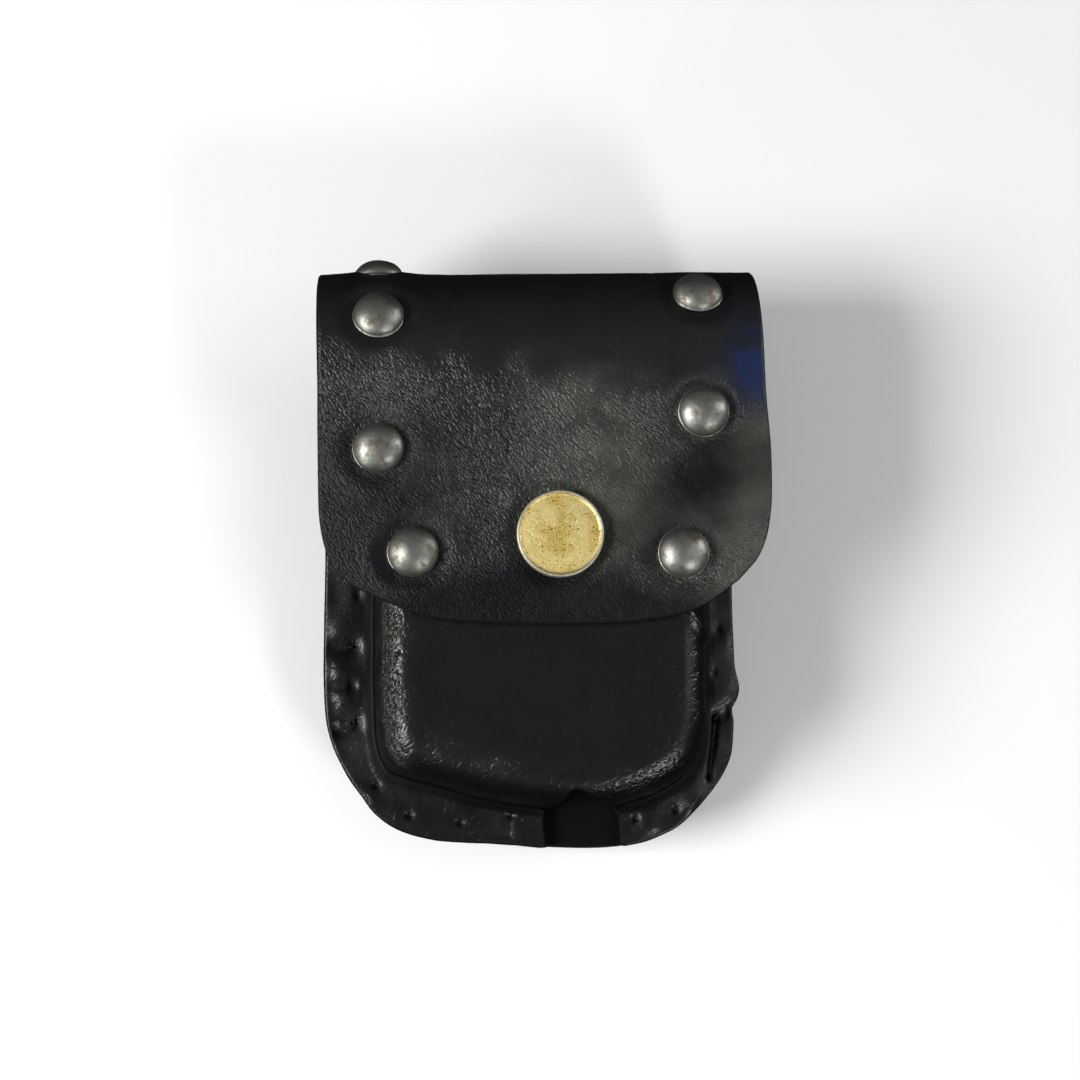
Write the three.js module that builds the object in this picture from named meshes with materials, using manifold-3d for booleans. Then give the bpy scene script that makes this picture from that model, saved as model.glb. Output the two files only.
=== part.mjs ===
// Small belt-worn pouch of wet-moulded leather: one sheet makes the back panel, the fold
// and the flap, a moulded hollow front carries a sewn flange, seven domed rivets stud the
// flap, and a cap snap closes it.
//
// Millimetres. The pouch lies on its back on its belt loop: +Z is its front, +Y points to
// the fold, +X to its right-hand side. The origin is under the middle of its footprint.

import * as THREE from 'three';
import { mergeVertices } from 'three/addons/utils/BufferGeometryUtils.js';
import Module from 'manifold-3d';

const wasm = await Module();
wasm.setup();

// ---- driving dimensions ---------------------------------------------------------------

const GAP = 0.3; // clearance between neighbouring pieces
const SHEET = 2.2; // thickness of the back panel, fold and flap
const SHELL = 2.0; // thickness of the moulded front
const STRAP = 2.4; // thickness of the belt loop
const BELT_GAP = 5.2; // room for the belt behind the back panel
const BOX_RISE = 18.8; // height of the moulded box above its flange

const BACK_Z = STRAP + BELT_GAP; // outer face of the back panel
const FLANGE_Z = BACK_Z + SHEET + GAP; // underside of the flange
const FLANGE_TOP = FLANGE_Z + SHELL;
const BOX_TOP = FLANGE_TOP + BOX_RISE;
const FLAP_GAP = 0.5; // between the box and the flap that lies on it
const FLAP_Z = BOX_TOP + FLAP_GAP + SHEET; // outer face of the flap

const CREST_Y = 52.5; // furthest point of the fold, in its middle
const FOLD_LEAN = 0.0237; // how much further the fold reaches for each millimetre to the right
const FOLD_BACK_REACH = 15; // how far before the crest the back panel starts to bend
const FOLD_FRONT_REACH = 17.1; // the same on the flap side, where the bend is slower
const MOUTH_Y = 36; // open end of the moulded front
const MOUTH_X = 0.6; // middle of the box across the pouch

// How far the box runs in from its crease before its face is flat, across and along.
const FACE_SCALE_X = 0.726;
const FACE_SCALE_Y = 0.89;
const WALL_SHARE = 0.45; // part of that run taken by the steep wall, before the round edge
const WALL_RISE = 13.4; // height of the steep wall

// Outer edge of the flange, from the mouth down the left side, round the bottom and up.
const FLANGE_EDGE = [
  [-37.6, 36], [-37.8, 18], [-38, 0], [-38, -16], [-37.2, -28], [-35, -35], [-31.5, -40.6],
  [-26.5, -45.7], [-19, -48.5], [-9.3, -49.5], [1.8, -50.2], [12, -50.4], [19.5, -49.4],
  [26, -46.8], [31.2, -41.3], [34.8, -36], [36.2, -28], [36.4, -14], [36.2, 0], [36.8, 18],
  [37.2, 36],
];

// Crease where the box wall rises from the flange, at the same stations.
const CREASE = [
  [-31, 36], [-31.2, 18], [-31.2, 0], [-31.2, -15], [-31, -26], [-30.3, -33.5],
  [-28.3, -38], [-23.8, -39.9], [-17.5, -41.6], [-9, -43.8], [0.5, -45.2], [9, -45.6],
  [17, -44.6], [24.5, -42], [29.8, -38], [32, -32.5], [32.4, -24], [32.4, -13], [32.4, 0],
  [32.4, 18], [32.2, 36],
];

// Side edges of the flap from the crest of the fold to the middle of its lower corners,
// given as [x, y]; the first point is on the crest.
const FLAP_LEFT = [[-39, 53.4], [-38.5, 34], [-38.3, 14], [-37.7, 5], [-35.6, -1.2], [-32, -4.4]];
const FLAP_RIGHT = [[38, 53.4], [38.6, 34], [39.9, 18], [39.6, 8], [37.8, 1.6], [34, -3]];

// Lower edge of the flap between the middles of its two corners.
const FLAP_TIP = [[-32, -4.4], [-26, -7.2], [-19, -9.6], [-8, -10.5], [4, -10.6], [17, -10], [27, -7.8],
  [34, -3]];

// Domed rivets: where their axes meet the leather. Those on the fold are given by the
// distance past its crest, measured along the leather towards the flap's tip.
const FLAP_RIVETS = [
  ['rivet_left_middle', -28.3, 19.1],
  ['rivet_left_lower', -22.2, 1.2],
  ['rivet_right_middle', 28.1, 26],
  ['rivet_right_lower', 24.4, 1.3],
];
const FOLD_RIVETS = [
  ['rivet_left_crest', -28.8, 1.2],
  ['rivet_left_upper', -28.5, 16.1],
  ['rivet_right_upper', 27.7, 10.9],
];

const DOME_R = 4.5;
const DOME_H = 3.2;
const POST_R = 1.5;
const BURR_R = 3.0; // washer under the leather
const BURR_T = 0.8;

const SNAP_X = 2.9;
const SNAP_Y = 4.3;
const CAP_R = 7.5;
const CAP_H = 2.2;
const CAP_RIM = 0.7; // width of the raised rim
const CAP_SINK = 0.35; // how deep the face lies inside the rim
const BARREL_R = 1.8;
const SOCKET_R = 5.5;
const SOCKET_T = 0.9;
const STUD_R = 1.8;
const STUD_BASE_R = 4.6;
const STUD_BASE_T = 0.8;

// Thumb notch: an arch cut through the bottom of the moulded front.
const NOTCH_X = 8.8;
const NOTCH_HALF = 7;
const NOTCH_TOP = -39.6; // y of the arch's top

const LOOP_HALF = 20; // half the width of the belt loop, along x
const LOOP_TOP = 39;
const LOOP_BOTTOM = -32;
const LOOP_TAB = 11; // flat end sewn to the back panel
const LOOP_RAMP = 7; // length over which the strap bends away from the panel

// ---- finishes -------------------------------------------------------------------------

const leather = () => new THREE.MeshStandardMaterial({ color: 0x232425, roughness: 0.5, metalness: 0 });
const steel = () => new THREE.MeshStandardMaterial({ color: 0x8a8880, roughness: 0.35, metalness: 1 });
const brass = () => new THREE.MeshStandardMaterial({ color: 0xbba862, roughness: 0.45, metalness: 1 });

// ---- solids ---------------------------------------------------------------------------

/** Welds a geometry's corners and turns it into a solid that can be cut. */
function toSolid(geometry) {
  const bare = geometry.index ? geometry.toNonIndexed() : geometry.clone();
  bare.deleteAttribute('normal');
  bare.deleteAttribute('uv');
  const welded = mergeVertices(bare, 1e-4);
  const index = welded.index.array;
  const triangles = [];
  for (let i = 0; i < index.length; i += 3) {
    const [a, b, c] = [index[i], index[i + 1], index[i + 2]];
    if (a !== b && b !== c && c !== a) {
      triangles.push(a, b, c);
    }
  }
  const mesh = new wasm.Mesh({
    numProp: 3,
    vertProperties: new Float32Array(welded.attributes.position.array),
    triVerts: new Uint32Array(triangles),
  });
  return new wasm.Manifold(mesh);
}

/** Turns a cut solid back into a geometry. */
function toGeometry(solid) {
  const mesh = solid.getMesh();
  const geometry = new THREE.BufferGeometry();
  geometry.setAttribute('position', new THREE.BufferAttribute(new Float32Array(mesh.vertProperties), 3));
  geometry.setIndex(new THREE.BufferAttribute(new Uint32Array(mesh.triVerts), 1));
  geometry.computeVertexNormals();
  return geometry;
}

/** Cuts each of the geometries in turn from the first. */
function cut(geometry, cutters) {
  return toGeometry(cutters.reduce((solid, cutter) => solid.subtract(toSolid(cutter)), toSolid(geometry)));
}

/** Closes two matching grids of points into one wall; rows cross columns facing outer. */
function wallBetween(outer, inner) {
  const rows = outer.length - 1;
  const columns = outer[0].length - 1;
  const corners = [];
  const quad = (a, b, c, d) => corners.push(a, b, c, a, c, d);
  for (let i = 0; i < rows; i += 1) {
    for (let j = 0; j < columns; j += 1) {
      quad(outer[i][j], outer[i][j + 1], outer[i + 1][j + 1], outer[i + 1][j]);
      quad(inner[i][j], inner[i + 1][j], inner[i + 1][j + 1], inner[i][j + 1]);
    }
  }
  for (let j = 0; j < columns; j += 1) {
    quad(outer[0][j + 1], outer[0][j], inner[0][j], inner[0][j + 1]);
    quad(outer[rows][j], outer[rows][j + 1], inner[rows][j + 1], inner[rows][j]);
  }
  for (let i = 0; i < rows; i += 1) {
    quad(outer[i][0], outer[i + 1][0], inner[i + 1][0], inner[i][0]);
    quad(outer[i + 1][columns], outer[i][columns], inner[i][columns], inner[i + 1][columns]);
  }
  return new THREE.BufferGeometry().setFromPoints(corners);
}

/** Curve through hand-placed points of an outline. */
function outline(points) {
  return new THREE.SplineCurve(points.map(([x, y]) => new THREE.Vector2(x, y)));
}

/** A turned piece: profile of [radius, height] pairs, with its axis along +Z. */
function turned(profile, sides = 20) {
  const points = profile.map(([radius, height]) => new THREE.Vector2(radius, height));
  return new THREE.LatheGeometry(points, sides).rotateX(Math.PI / 2);
}

/** A plain round cutter between two heights on +Z. */
function drill(radius, low, high) {
  return turned([[0, low], [radius, low], [radius, high], [0, high]]);
}

// ---- the sheet: back panel, fold and flap ---------------------------------------------

const FOLD_MID_Z = (BACK_Z + FLAP_Z) / 2;
const FOLD_HALF = (FLAP_Z - BACK_Z) / 2;
const SHEET_START = -60; // the profile line starts clear of the panel's lower edge

/** Outer face of the sheet seen from the side: panel, two quarter ellipses, flap. */
function sheetProfile() {
  const backBend = CREST_Y - FOLD_BACK_REACH;
  const frontBend = CREST_Y - FOLD_FRONT_REACH;
  const path = new THREE.CurvePath();
  path.add(new THREE.LineCurve(new THREE.Vector2(SHEET_START, BACK_Z), new THREE.Vector2(backBend, BACK_Z)));
  path.add(new THREE.EllipseCurve(backBend, FOLD_MID_Z, FOLD_BACK_REACH, FOLD_HALF, -Math.PI / 2, 0));
  path.add(new THREE.EllipseCurve(frontBend, FOLD_MID_Z, FOLD_FRONT_REACH, FOLD_HALF, 0, Math.PI / 2));
  path.add(new THREE.LineCurve(new THREE.Vector2(frontBend, FLAP_Z), new THREE.Vector2(SHEET_START, FLAP_Z)));
  return path;
}

const PROFILE = sheetProfile();
const PROFILE_LENGTH = PROFILE.getLength();
const [, CREST_RUN, FLAP_RUN] = PROFILE.getCurveLengths();

/** Distance along the sheet of a place on the back panel. */
const panelRun = (y) => y - SHEET_START;

/** Distance along the sheet of a place on the flat of the flap. */
const flapRun = (y) => FLAP_RUN + (CREST_Y - FOLD_FRONT_REACH) - y;

const SINK_HELD = 22; // half the width that the box holds up
const SINK_SIDE = 16; // from there to the flap's side edge
const SINK_LEFT = { side: 1.3, corner: 0.7 }; // sink at the side edge, and how much more at the corner
const SINK_RIGHT = { side: 1.7, corner: 1.3 };

/** How far the flap sinks where nothing is under it: its sides, and most its corners. */
function sink(x, run) {
  const settled = THREE.MathUtils.smoothstep(run, FLAP_RUN - 4, FLAP_RUN + 24);
  const tip = THREE.MathUtils.smoothstep(run, FLAP_RUN + 26, FLAP_RUN + 44);
  const past = Math.max(0, Math.abs(x - MOUTH_X) - SINK_HELD) / SINK_SIDE;
  const most = x > 0 ? SINK_RIGHT : SINK_LEFT;
  return settled * (most.side + most.corner * tip) * past * past;
}

/** How far the fold leans at a place: nothing on the flat panels, most on its crest. */
function lean(x, y) {
  const bend = CREST_Y - FOLD_FRONT_REACH;
  return FOLD_LEAN * (x - MOUTH_X) * THREE.MathUtils.clamp((y - bend) / FOLD_FRONT_REACH, 0, 1);
}

/** A point of the sheet, at a place across it, along it and below its outer face. */
function sheetPoint(x, run, depth) {
  const at = run / PROFILE_LENGTH;
  const place = PROFILE.getPoint(at);
  const along = PROFILE.getTangent(at);
  const y = place.x - along.y * depth + lean(x, place.x);
  return new THREE.Vector3(x, y, place.y + along.x * depth - sink(x, run));
}

/** Position and turn of a fitting that stands on the sheet's outer face. */
function sheetSeat(x, run) {
  const along = PROFILE.getTangent(run / PROFILE_LENGTH);
  const slope = sink(x + 0.5, run) - sink(x - 0.5, run);
  const normal = new THREE.Vector3(slope, along.y, -along.x).normalize();
  const turn = new THREE.Quaternion().setFromUnitVectors(new THREE.Vector3(0, 0, 1), normal);
  return new THREE.Matrix4().compose(sheetPoint(x, run, 0), turn, new THREE.Vector3(1, 1, 1));
}

/** Grid of [x, run] that fills the sheet's outline between its four corner middles. */
function sheetGrid(rows, columns) {
  const half = FLANGE_EDGE.findIndex(([x]) => x > -30); // middle of the lower left corner
  const far = FLANGE_EDGE.length - 1 - half; // middle of the lower right corner
  const onPanel = ([x, y]) => [x, panelRun(y)];
  const onCrest = ([x]) => [x, CREST_RUN];
  const onFlap = ([x, y]) => [x, flapRun(y)];
  const left = [
    ...FLANGE_EDGE.slice(0, half + 1).reverse().map(onPanel),
    onCrest(FLAP_LEFT[0]),
    ...FLAP_LEFT.slice(1).map(onFlap),
  ];
  const right = [
    ...FLANGE_EDGE.slice(far).map(onPanel),
    onCrest(FLAP_RIGHT[0]),
    ...FLAP_RIGHT.slice(1).map(onFlap),
  ];
  const bottom = FLANGE_EDGE.slice(half, far + 1).map(onPanel);
  const sides = [left, right].map((points) => outline(points).getSpacedPoints(rows));
  const ends = [bottom, FLAP_TIP.map(onFlap)].map((points) => outline(points).getSpacedPoints(columns));
  const [leftEdge, rightEdge] = sides;
  const [panelEdge, tipEdge] = ends;
  return leftEdge.map((onLeft, i) => {
    const t = i / rows;
    return panelEdge.map((below, j) => {
      const s = j / columns;
      const across = onLeft.clone().lerp(rightEdge[i], s);
      const along = below.clone().lerp(tipEdge[j], t);
      const low = panelEdge[0].clone().lerp(panelEdge[columns], s);
      const high = tipEdge[0].clone().lerp(tipEdge[columns], s);
      return across.add(along).sub(low.lerp(high, t));
    });
  });
}

/** Back panel, fold and flap, cut from one piece of leather. */
function backFlap(seats, snapSeat) {
  const grid = sheetGrid(44, 14);
  const skin = (depth) => grid.map((row) => row.map((p) => sheetPoint(p.x, p.y, depth)));
  const sheet = wallBetween(skin(SHEET), skin(0));
  const below = -SHEET - 1;
  const rivetHoles = seats.flatMap((seat) => [
    drill(POST_R + GAP, below, 1).applyMatrix4(seat),
    drill(BURR_R + GAP, below, BURR_T + GAP - SHEET).applyMatrix4(seat),
  ]);
  const snapHoles = [
    drill(BARREL_R + GAP, below, 1).applyMatrix4(snapSeat),
    drill(SOCKET_R + GAP, below, SOCKET_T + GAP - SHEET).applyMatrix4(snapSeat),
  ];
  return cut(sheet, [...rivetHoles, ...snapHoles]);
}

// ---- the moulded front ----------------------------------------------------------------

/** Rings of the moulded front from the flange's edge to the middle of the mouth. */
function shellRings(stations) {
  const edge = outline(FLANGE_EDGE).getPoints(stations);
  const crease = outline(CREASE).getPoints(stations);
  const mouth = new THREE.Vector2(MOUTH_X, MOUTH_Y);
  const face = crease.map((p) => p.clone().sub(mouth)
    .multiply(new THREE.Vector2(FACE_SCALE_X, FACE_SCALE_Y)).add(mouth));
  const ring = (from, to, share, z) => from.map((p, i) => {
    const place = p.clone().lerp(to[i], share);
    return new THREE.Vector3(place.x, place.y, z);
  });
  const middle = edge.map(() => mouth);
  const flange = [0, 0.5, 0.9].map((share) => ring(edge, crease, share, FLANGE_TOP));
  const wall = [0, 0.06, 0.5, 1].map((rise) => (
    ring(crease, face, WALL_SHARE * rise, FLANGE_TOP + WALL_RISE * rise)));
  const round = [0.25, 0.5, 0.75, 1].map((share) => {
    const angle = share * Math.PI / 2;
    const run = WALL_SHARE + (1 - WALL_SHARE) * (1 - Math.cos(angle));
    return ring(crease, face, run, FLANGE_TOP + WALL_RISE + (BOX_RISE - WALL_RISE) * Math.sin(angle));
  });
  const top = [0.3, 0.65, 1].map((share) => ring(face, middle, share, BOX_TOP));
  return [...flange, ...wall, ...round, ...top];
}

/** Moves a grid of points inwards by a wall's thickness, along its own normals. */
function inset(grid, thickness) {
  const pick = (i, j) => grid[Math.min(Math.max(i, 0), grid.length - 1)][
    Math.min(Math.max(j, 0), grid[0].length - 1)];
  return grid.map((row, i) => row.map((point, j) => {
    const around = pick(i, j + 1).clone().sub(pick(i, j - 1));
    const inwards = pick(i + 1, j).clone().sub(pick(i - 1, j));
    const normal = i === grid.length - 1 ? new THREE.Vector3(0, 0, 1) : around.cross(inwards).normalize();
    const moved = point.clone().addScaledVector(normal, -thickness);
    if (j === 0 || j === row.length - 1) {
      moved.y = MOUTH_Y;
    }
    return moved;
  }));
}

/** Arch-topped cutter for the thumb notch, open towards the pouch's lower end. */
function notchCutter() {
  const shape = new THREE.Shape();
  const spring = NOTCH_TOP - NOTCH_HALF;
  shape.moveTo(NOTCH_X - NOTCH_HALF, spring - 12);
  shape.lineTo(NOTCH_X + NOTCH_HALF, spring - 12);
  shape.lineTo(NOTCH_X + NOTCH_HALF, spring);
  shape.absarc(NOTCH_X, spring, NOTCH_HALF, 0, Math.PI, false);
  return new THREE.ExtrudeGeometry(shape, { depth: BOX_TOP, bevelEnabled: false, curveSegments: 16 })
    .translate(0, 0, FLANGE_Z - 1);
}

/** Hollow moulded front with its flange, thumb notch and the hole for the snap's stud. */
function frontShell() {
  const rings = shellRings(50);
  const shell = wallBetween(rings, inset(rings, SHELL));
  const studHole = drill(STUD_R + GAP, BOX_TOP - SHELL - 1, BOX_TOP + 1).translate(SNAP_X, SNAP_Y, 0);
  const baseSeat = drill(STUD_BASE_R + GAP, BOX_TOP - SHELL - 1, BOX_TOP - SHELL + STUD_BASE_T + GAP)
    .translate(SNAP_X, SNAP_Y, 0);
  return cut(shell, [notchCutter(), studHole, baseSeat]);
}

// ---- fittings -------------------------------------------------------------------------

/** Domed rivet with its post and the washer sunk into the back of the leather. */
function rivet() {
  const low = -SHEET;
  const burr = [[0, low], [BURR_R, low], [BURR_R, low + BURR_T], [POST_R, low + BURR_T]];
  const underside = [[POST_R, GAP], [DOME_R - 0.3, GAP], [DOME_R, GAP + 0.4]];
  const dome = [0.25, 0.5, 0.75].map((share) => {
    const angle = share * Math.PI / 2;
    return [DOME_R * Math.cos(angle), GAP + 0.4 + (DOME_H - 0.4) * Math.sin(angle)];
  });
  return turned([...burr, ...underside, ...dome, [0, GAP + DOME_H]], 16);
}

/** Snap cap: a flat face inside a raised rim, on a barrel that reaches through the flap. */
function snapCap() {
  const top = GAP + CAP_H;
  return turned([
    [0, -SHEET + SOCKET_T + GAP], [BARREL_R, -SHEET + SOCKET_T + GAP], [BARREL_R, GAP],
    [CAP_R - 0.5, GAP], [CAP_R, GAP + 0.6], [CAP_R, top - 0.3], [CAP_R - 0.3, top],
    [CAP_R - CAP_RIM, top], [CAP_R - CAP_RIM - 0.2, top - CAP_SINK], [0, top - CAP_SINK],
  ], 32);
}

/** Socket ring sunk into the inner face of the flap, round the stud's head. */
function snapSocket() {
  const inner = STUD_R + GAP;
  const low = -SHEET;
  const high = low + SOCKET_T;
  return turned([[inner, low], [SOCKET_R, low], [SOCKET_R, high], [inner, high], [inner, low]]);
}

/** Stud whose base lies inside the moulded front and whose head enters the socket. */
function snapStud() {
  const base = BOX_TOP - SHELL;
  const tip = FLAP_Z - SHEET + SOCKET_T - 0.1;
  return turned([
    [0, base], [STUD_BASE_R, base], [STUD_BASE_R, base + STUD_BASE_T], [STUD_R - 0.2, base + STUD_BASE_T],
    [STUD_R - 0.2, tip - 0.8], [STUD_R, tip - 0.5], [STUD_R - 0.4, tip], [0, tip],
  ]);
}

// ---- belt loop ------------------------------------------------------------------------

/** Height of the strap's outer face along the pouch: on the panel, bending away, flat. */
function strapZ(y) {
  const raised = BACK_Z - GAP - STRAP;
  const fromTop = THREE.MathUtils.smoothstep(LOOP_TOP - LOOP_TAB - y, 0, LOOP_RAMP);
  const fromBottom = THREE.MathUtils.smoothstep(y - LOOP_BOTTOM - LOOP_TAB, 0, LOOP_RAMP);
  return raised * (1 - fromTop * fromBottom);
}

/** Plain leather strap on the back that the belt passes through, along x. */
function beltLoop() {
  const steps = 40;
  const stations = Array.from({ length: steps + 1 }, (_, i) => (
    LOOP_BOTTOM + (LOOP_TOP - LOOP_BOTTOM) * i / steps));
  const shape = new THREE.Shape([
    ...stations.map((y) => new THREE.Vector2(y, strapZ(y))),
    ...stations.toReversed().map((y) => new THREE.Vector2(y, strapZ(y) + STRAP)),
  ]);
  // The side view is drawn in y and z, then laid so that its depth runs along x.
  const lay = new THREE.Matrix4().makeBasis(
    new THREE.Vector3(0, 1, 0), new THREE.Vector3(0, 0, 1), new THREE.Vector3(1, 0, 0));
  return new THREE.ExtrudeGeometry(shape, { depth: 2 * LOOP_HALF, bevelEnabled: false })
    .translate(0, 0, -LOOP_HALF).applyMatrix4(lay);
}

// ---- assembly -------------------------------------------------------------------------

/** A named piece of the pouch. */
function piece(name, geometry, material) {
  const mesh = new THREE.Mesh(geometry, material);
  mesh.name = name;
  return mesh;
}

const pouch = new THREE.Group();

const rivetSeats = [
  ...FOLD_RIVETS.map(([name, x, past]) => [name, sheetSeat(x, CREST_RUN + past)]),
  ...FLAP_RIVETS.map(([name, x, y]) => [name, sheetSeat(x, flapRun(y))]),
];
const snapSeat = sheetSeat(SNAP_X, flapRun(SNAP_Y));

pouch.add(piece('back_flap', backFlap(rivetSeats.map(([, seat]) => seat), snapSeat), leather()));
pouch.add(piece('front_shell', frontShell(), leather()));
pouch.add(piece('belt_loop', beltLoop(), leather()));
for (const [name, seat] of rivetSeats) {
  const mesh = piece(name, rivet(), steel());
  mesh.applyMatrix4(seat);
  pouch.add(mesh);
}
for (const [name, geometry] of [['snap_cap', snapCap()], ['snap_socket', snapSocket()]]) {
  const mesh = piece(name, geometry, brass());
  mesh.applyMatrix4(snapSeat);
  pouch.add(mesh);
}
const stud = piece('snap_stud', snapStud(), brass());
stud.position.set(SNAP_X, SNAP_Y, 0);
pouch.add(stud);

// The origin goes under the middle of the pouch's footprint.
const footprint = new THREE.Box3().setFromObject(pouch);
const centre = footprint.getCenter(new THREE.Vector3());
pouch.position.set(-centre.x, -centre.y, -footprint.min.z);
pouch.updateMatrixWorld(true);

const group = new THREE.Group();
group.add(pouch);

export default group;
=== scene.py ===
"""Looks of a small belt-worn leather pouch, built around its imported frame.

The pouch lies on its back on its belt loop: +Z is its front, +Y points to the fold of the
flap and +X to its right-hand side. Shapes are worked out in millimetres in the pouch's own
drawing, and Drawing places them in the frame, which is in metres.
"""

import logging
import math
from dataclasses import dataclass, field
from enum import Enum
from typing import Optional, Sequence, Union

import bmesh
import bpy
import numpy as np
from mathutils import Matrix, Vector


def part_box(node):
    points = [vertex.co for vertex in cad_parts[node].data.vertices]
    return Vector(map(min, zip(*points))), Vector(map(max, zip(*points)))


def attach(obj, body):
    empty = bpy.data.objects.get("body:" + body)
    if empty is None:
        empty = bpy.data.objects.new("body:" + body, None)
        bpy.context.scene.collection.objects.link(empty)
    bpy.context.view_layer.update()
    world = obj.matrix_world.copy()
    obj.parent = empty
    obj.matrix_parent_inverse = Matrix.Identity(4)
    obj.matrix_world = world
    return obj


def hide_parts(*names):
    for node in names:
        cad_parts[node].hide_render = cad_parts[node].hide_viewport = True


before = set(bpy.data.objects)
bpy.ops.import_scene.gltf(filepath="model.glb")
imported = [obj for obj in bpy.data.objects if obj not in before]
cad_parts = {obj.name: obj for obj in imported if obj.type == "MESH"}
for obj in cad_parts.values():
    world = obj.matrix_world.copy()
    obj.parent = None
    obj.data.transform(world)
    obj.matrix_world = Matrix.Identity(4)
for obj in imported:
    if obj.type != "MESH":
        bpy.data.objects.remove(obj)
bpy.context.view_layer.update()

MM = 0.001  # metres in a millimetre
SAME_PLACE = 1e-7  # metres within which two corners are one
BODY = "root"
UP_THE_POUCH = np.array([0.0, 1.0, 0.0])
UNALIGNED = np.array([0.13, 0.21, 0.97])  # a direction that no stretch of thread runs along
Array = np.ndarray
Points = Sequence[Sequence[float]]
Socket = bpy.types.NodeSocket
Value = Union[Socket, float]
Paint = Union[Socket, str]  # a socket, or an sRGB hex colour

log = logging.getLogger("pouch")


# ---- curves and fields -----------------------------------------------------------------


def spline(points: Points, at: Array) -> Array:
    """Curve through given points, by the Catmull-Rom cubic of each four neighbours.

    Args:
        points: the points of the outline, in order.
        at: stations, 0 at the first point and one more at each next point.

    Returns:
        One point for each station.
    """
    given = np.asarray(points, float)
    p = np.vstack([2 * given[0] - given[1], given, 2 * given[-1] - given[-2]])
    i = np.clip(np.floor(at).astype(int), 0, len(given) - 2)
    u = (at - i)[:, None]
    a, b, c, d = p[i], p[i + 1], p[i + 2], p[i + 3]
    return 0.5 * (2 * b + (c - a) * u + (2 * a - 5 * b + 4 * c - d) * u**2 + (3 * b - a - 3 * c + d) * u**3)


def spaced(points: Points, shares: Array) -> Array:
    """Points of the same curve at given shares of its length, 0 at its start and 1 at its end.

    Args:
        points: the points of the outline, in order.
        shares: shares of the length.

    Returns:
        One point for each share.
    """
    stations = np.linspace(0, len(points) - 1, 40 * len(points))
    dense = spline(points, stations)
    run = np.concatenate([[0], np.cumsum(np.linalg.norm(np.diff(dense, axis=0), axis=1))])
    return spline(points, np.interp(np.asarray(shares) * run[-1], run, stations))


def step(value: Array, low: float, high: float) -> Array:
    """Smooth step from 0 at low to 1 at high: 3t^2 - 2t^3."""
    t = np.clip((value - low) / (high - low), 0, 1)
    return t * t * (3 - 2 * t)


def hill(distance: Array, width: float) -> Array:
    """Bell curve of a distance: exp(-(distance / width)^2)."""
    return np.exp(-((distance / width) ** 2))


def cloud(x: Array, y: Array, cell: float, seed: int) -> Array:
    """Smooth random field: numbers on a square lattice, blended by smooth steps.

    Args:
        x: first coordinate of each place.
        y: second coordinate of each place.
        cell: lattice spacing, in the same units.
        seed: picks the numbers.

    Returns:
        Values between -1 and 1.
    """
    size = 64
    table = np.random.default_rng(seed).uniform(-1, 1, (size, size))
    gx, gy = x / cell, y / cell
    ix, iy = np.floor(gx).astype(int), np.floor(gy).astype(int)
    fx, fy = step(gx - ix, 0, 1), step(gy - iy, 0, 1)
    near = table[ix % size, iy % size] * (1 - fx) + table[(ix + 1) % size, iy % size] * fx
    far = table[ix % size, (iy + 1) % size] * (1 - fx) + table[(ix + 1) % size, (iy + 1) % size] * fx
    return near * (1 - fy) + far * fy


def to_segment(x: Array, y: Array, start: Sequence[float], end: Sequence[float]) -> Array:
    """Distance of each place from the straight line between two points."""
    dx, dy = end[0] - start[0], end[1] - start[1]
    t = np.clip(((x - start[0]) * dx + (y - start[1]) * dy) / (dx * dx + dy * dy), 0, 1)
    return np.hypot(x - start[0] - t * dx, y - start[1] - t * dy)


def unit(vectors: Array) -> Array:
    """Vectors of length one in the same directions."""
    return vectors / np.maximum(np.linalg.norm(vectors, axis=-1, keepdims=True), 1e-9)


def sampled(grid: Array, rows: Array, columns: Array) -> Array:
    """Values of a grid between its places, blended from the four nearest.

    Args:
        grid: values in rows and columns.
        rows: fractional rows.
        columns: fractional columns.

    Returns:
        One value for each row and column asked for.
    """
    i = np.clip(np.floor(rows).astype(int), 0, grid.shape[0] - 2)
    j = np.clip(np.floor(columns).astype(int), 0, grid.shape[1] - 2)
    u, v = (rows - i)[..., None], (columns - j)[..., None]
    near = grid[i, j] * (1 - u) + grid[i + 1, j] * u
    far = grid[i, j + 1] * (1 - u) + grid[i + 1, j + 1] * u
    return near * (1 - v) + far * v


def grid_normals(points: Array) -> Array:
    """Normals of a grid of points: the cross product of its two directions' differences."""
    down, across = np.gradient(points, axis=0), np.gradient(points, axis=1)
    return unit(np.cross(across, down))


# ---- meshes ----------------------------------------------------------------------------


@dataclass
class Skin:
    """A mesh in the making: its corners in drawing millimetres, faces and surface marks."""

    points: Array
    faces: Array
    marks: dict[str, Array] = field(default_factory=dict)


def grid_faces(rows: int, columns: int) -> Array:
    """Four-cornered faces of a grid, turned so that columns cross rows facing outwards."""
    i, j = np.meshgrid(np.arange(rows - 1), np.arange(columns - 1), indexing="ij")
    a = (i * columns + j).ravel()
    return np.stack([a, a + 1, a + 1 + columns, a + columns], 1)


def edge_loop(rows: int, columns: int, pole: bool) -> Array:
    """Row and column of each place round a grid's edge.

    Args:
        rows: rows of the grid.
        columns: columns of the grid.
        pole: whether the last row is a single point, which then counts as one place.

    Returns:
        The places, once round from the first corner.
    """
    first = [(0, j) for j in range(columns)]
    right = [(i, columns - 1) for i in range(1, rows)]
    last = [] if pole else [(rows - 1, j) for j in range(columns - 2, -1, -1)]
    left = [(i, 0) for i in range(rows - 2, 0, -1)]
    return np.array(first + right + last + left)


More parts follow.
